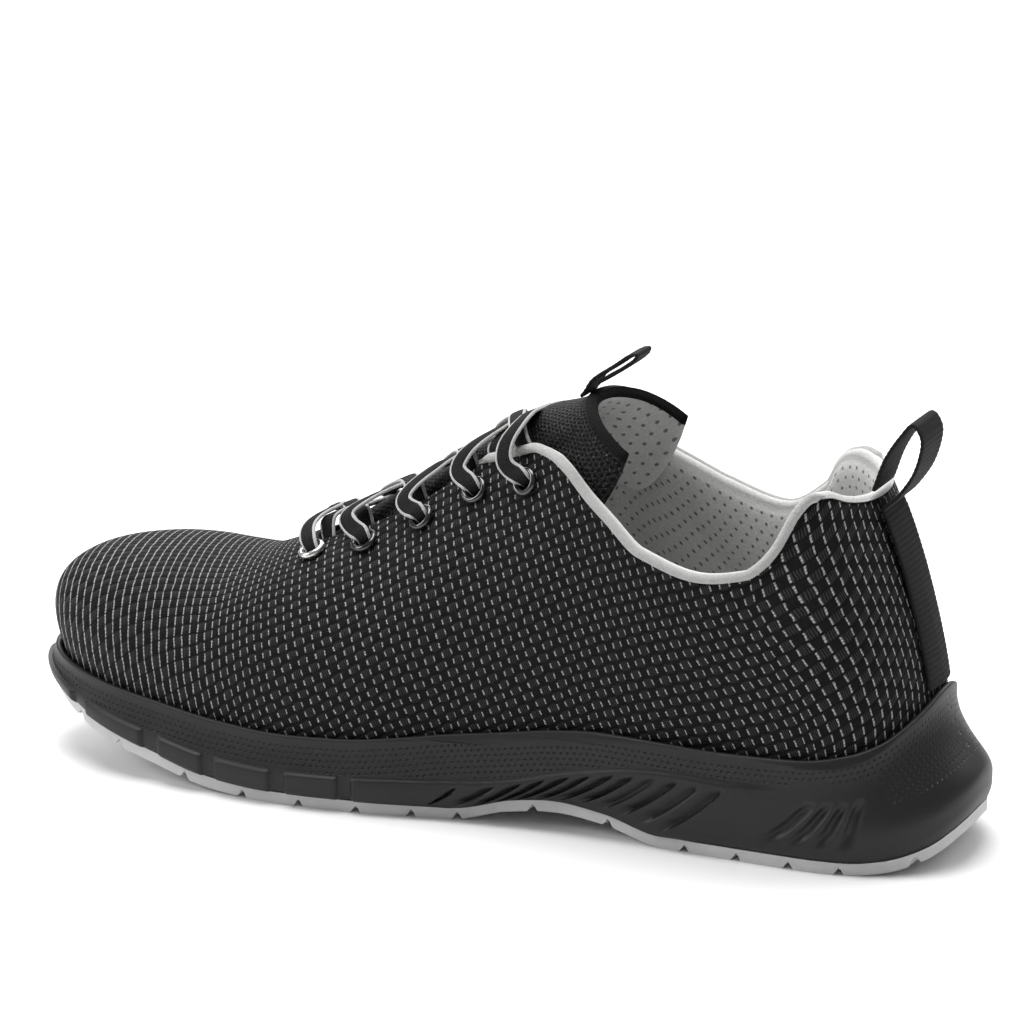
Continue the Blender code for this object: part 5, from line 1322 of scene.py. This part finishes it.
first = EYELET_STATIONS[0]
shares = np.linspace(-0.90, 0.90, 15)
bar = [
    first + LACE_BAR_LEAD * np.abs(np.sin(math.pi * shares)),
    (throat_half(first) + EYELET_SETBACK) * shares,
    BAR_LIFT + LACE_BAR_ARCH * (1 - shares**2),
]
bar = np.stack(bar, axis=-1)
runs = [np.concatenate([through_eyelet(first, MEDIAL), bar, through_eyelet(first, LATERAL)[::-1]])]
for values in zip(*STRANDS.values()):
    side, start, _, lead = values[:4]
    path = lace_path(*values)
    head = through_eyelet(start, side) if lead else [path[0] + (0.0, side * LACE_TUCK, -LACE_DIVE)]
    runs.append(np.concatenate([head, path, [path[-1] - (0.0, side * LACE_TUCK, LACE_DIVE)]]))


def lay_lace(name, run):
    """One visible run of the lace: the braid, and the cords along its edges."""
    centre = refine([raised(s, a, h) for s, a, h in run], 6)
    narrow = np.clip(refine(np.where(run[:, 2:] < 0.0015, 0.80, 1.0), 6), 0.7, 1.0)
    length = run_along(centre)
    even = np.linspace(0, length[-1], int(length[-1] / LACE_STEP))
    both = np.hstack([centre, narrow])
    both = np.stack([np.interp(even, length, both[:, k]) for k in range(4)], axis=-1)
    for _ in range(LACE_SMOOTHING):
        both[1:-1] = (both[:-2] + both[1:-1] + both[2:]) / 3
    centre, narrow = both[:, :3], both[:, 3]
    tangent = unit(np.gradient(centre, axis=0))
    beside = unit(THROAT_RUN - tangent * (tangent @ THROAT_RUN)[:, None])
    width, thickness = LACE_WIDTH * narrow, LACE_THICKNESS * (1.4 - 0.4 * narrow)
    lace = sweep(name, centre, beside, width - LACE_EDGE, thickness, corners=16, power=3.0)
    lace.data.materials.append(braid)
    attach(lace, "root")
    for way, end in ((-1, "front"), (1, "rear")):
        edge = centre + beside * (way * (width - LACE_EDGE) / 2)[:, None]
        cord = sweep(f"{name}_cord_{end}", edge, beside, LACE_EDGE, LACE_EDGE, corners=10)
        cord.data.materials.append(brushed)
        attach(cord, "root")
    return lace


laces = [lay_lace(f"lace_run_{number}", run) for number, run in enumerate(runs)]
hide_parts("lace")


# Floor, lights and camera
# A white studio floor under broad soft boxes: one above, one at the toe, one at the rear and one over the
# background. The camera stands on the shoe's inner side, a little behind its middle, with a long lens.
CAMERA_AZIMUTH, CAMERA_ELEVATION, CAMERA_DISTANCE = 24.2, 16.5, 1.290
CAMERA_TARGET = np.array([0.0, 0.0, 0.0843])

# Matt white paper, lit almost to pure white.
paper, tree, surface = new_material("matt_white_paper", 0.9, ior=1.4)
surface.inputs["Base Color"].default_value = colour("#f4f4f4")
surface.inputs["Specular IOR Level"].default_value = 0.1
floor = new_piece("floor", [(-6, -6, 0), (6, -6, 0), (6, 6, 0), (-6, 6, 0)], [[0, 1, 2, 3]])
floor.data.materials.append(paper)

world = bpy.data.worlds.new("studio")
bpy.context.scene.world = world
world.use_nodes = True
background = world.node_tree.nodes["Background"]
background.inputs["Color"].default_value = colour("#ffffff")
background.inputs["Strength"].default_value = 0.26


def place_in_studio(name, data, spot, x, z):
    """Stands a lamp or a camera at this spot, with x to its right and z behind it."""
    matrix = np.eye(4)
    matrix[:3] = np.stack([x, np.cross(z, x), z, spot], axis=-1)
    made = bpy.data.objects.new(name, data)
    made.matrix_world = Matrix(matrix.tolist())
    bpy.context.scene.collection.objects.link(made)
    return made


for name, spot, aim, size, power in (
    ("top_soft_box", (-0.15, 0.1, 1.5), (0.0, 0.0, 0.06), 1.0, 26.0),
    ("toe_soft_box", (-1.2, -0.6, 0.8), (0.0, 0.0, 0.06), 0.6, 9.0),
    ("rear_soft_box", (0.9, 0.9, 1.0), (0.0, 0.0, 0.06), 0.8, 5.0),
    ("backdrop_soft_box", (-0.8, 2.2, 1.3), (-0.8, 2.201, 0.0), 2.2, 70.0),
):
    lamp = bpy.data.lights.new(name, "AREA")
    lamp.energy = power
    lamp.size = size
    z = unit(np.array(spot) - np.array(aim))
    place_in_studio(name, lamp, spot, unit(np.cross((0.0, 1.0, 0.0), z)), z)

azimuth, elevation = math.radians(CAMERA_AZIMUTH), math.radians(CAMERA_ELEVATION)
level = np.array([math.sin(azimuth), -math.cos(azimuth), 0.0]) * math.cos(elevation)
back = level + (0.0, 0.0, math.sin(elevation))
lens = bpy.data.cameras.new("camera")
lens.lens, lens.sensor_width = 151.9, 36.0
lens.clip_start, lens.clip_end = 0.05, 30.0
right = np.array([math.cos(azimuth), math.sin(azimuth), 0.0])
camera = place_in_studio("camera", lens, CAMERA_TARGET + back * CAMERA_DISTANCE, right, back)
bpy.context.scene.camera = camera
bpy.context.scene.view_settings.view_transform = "Standard"
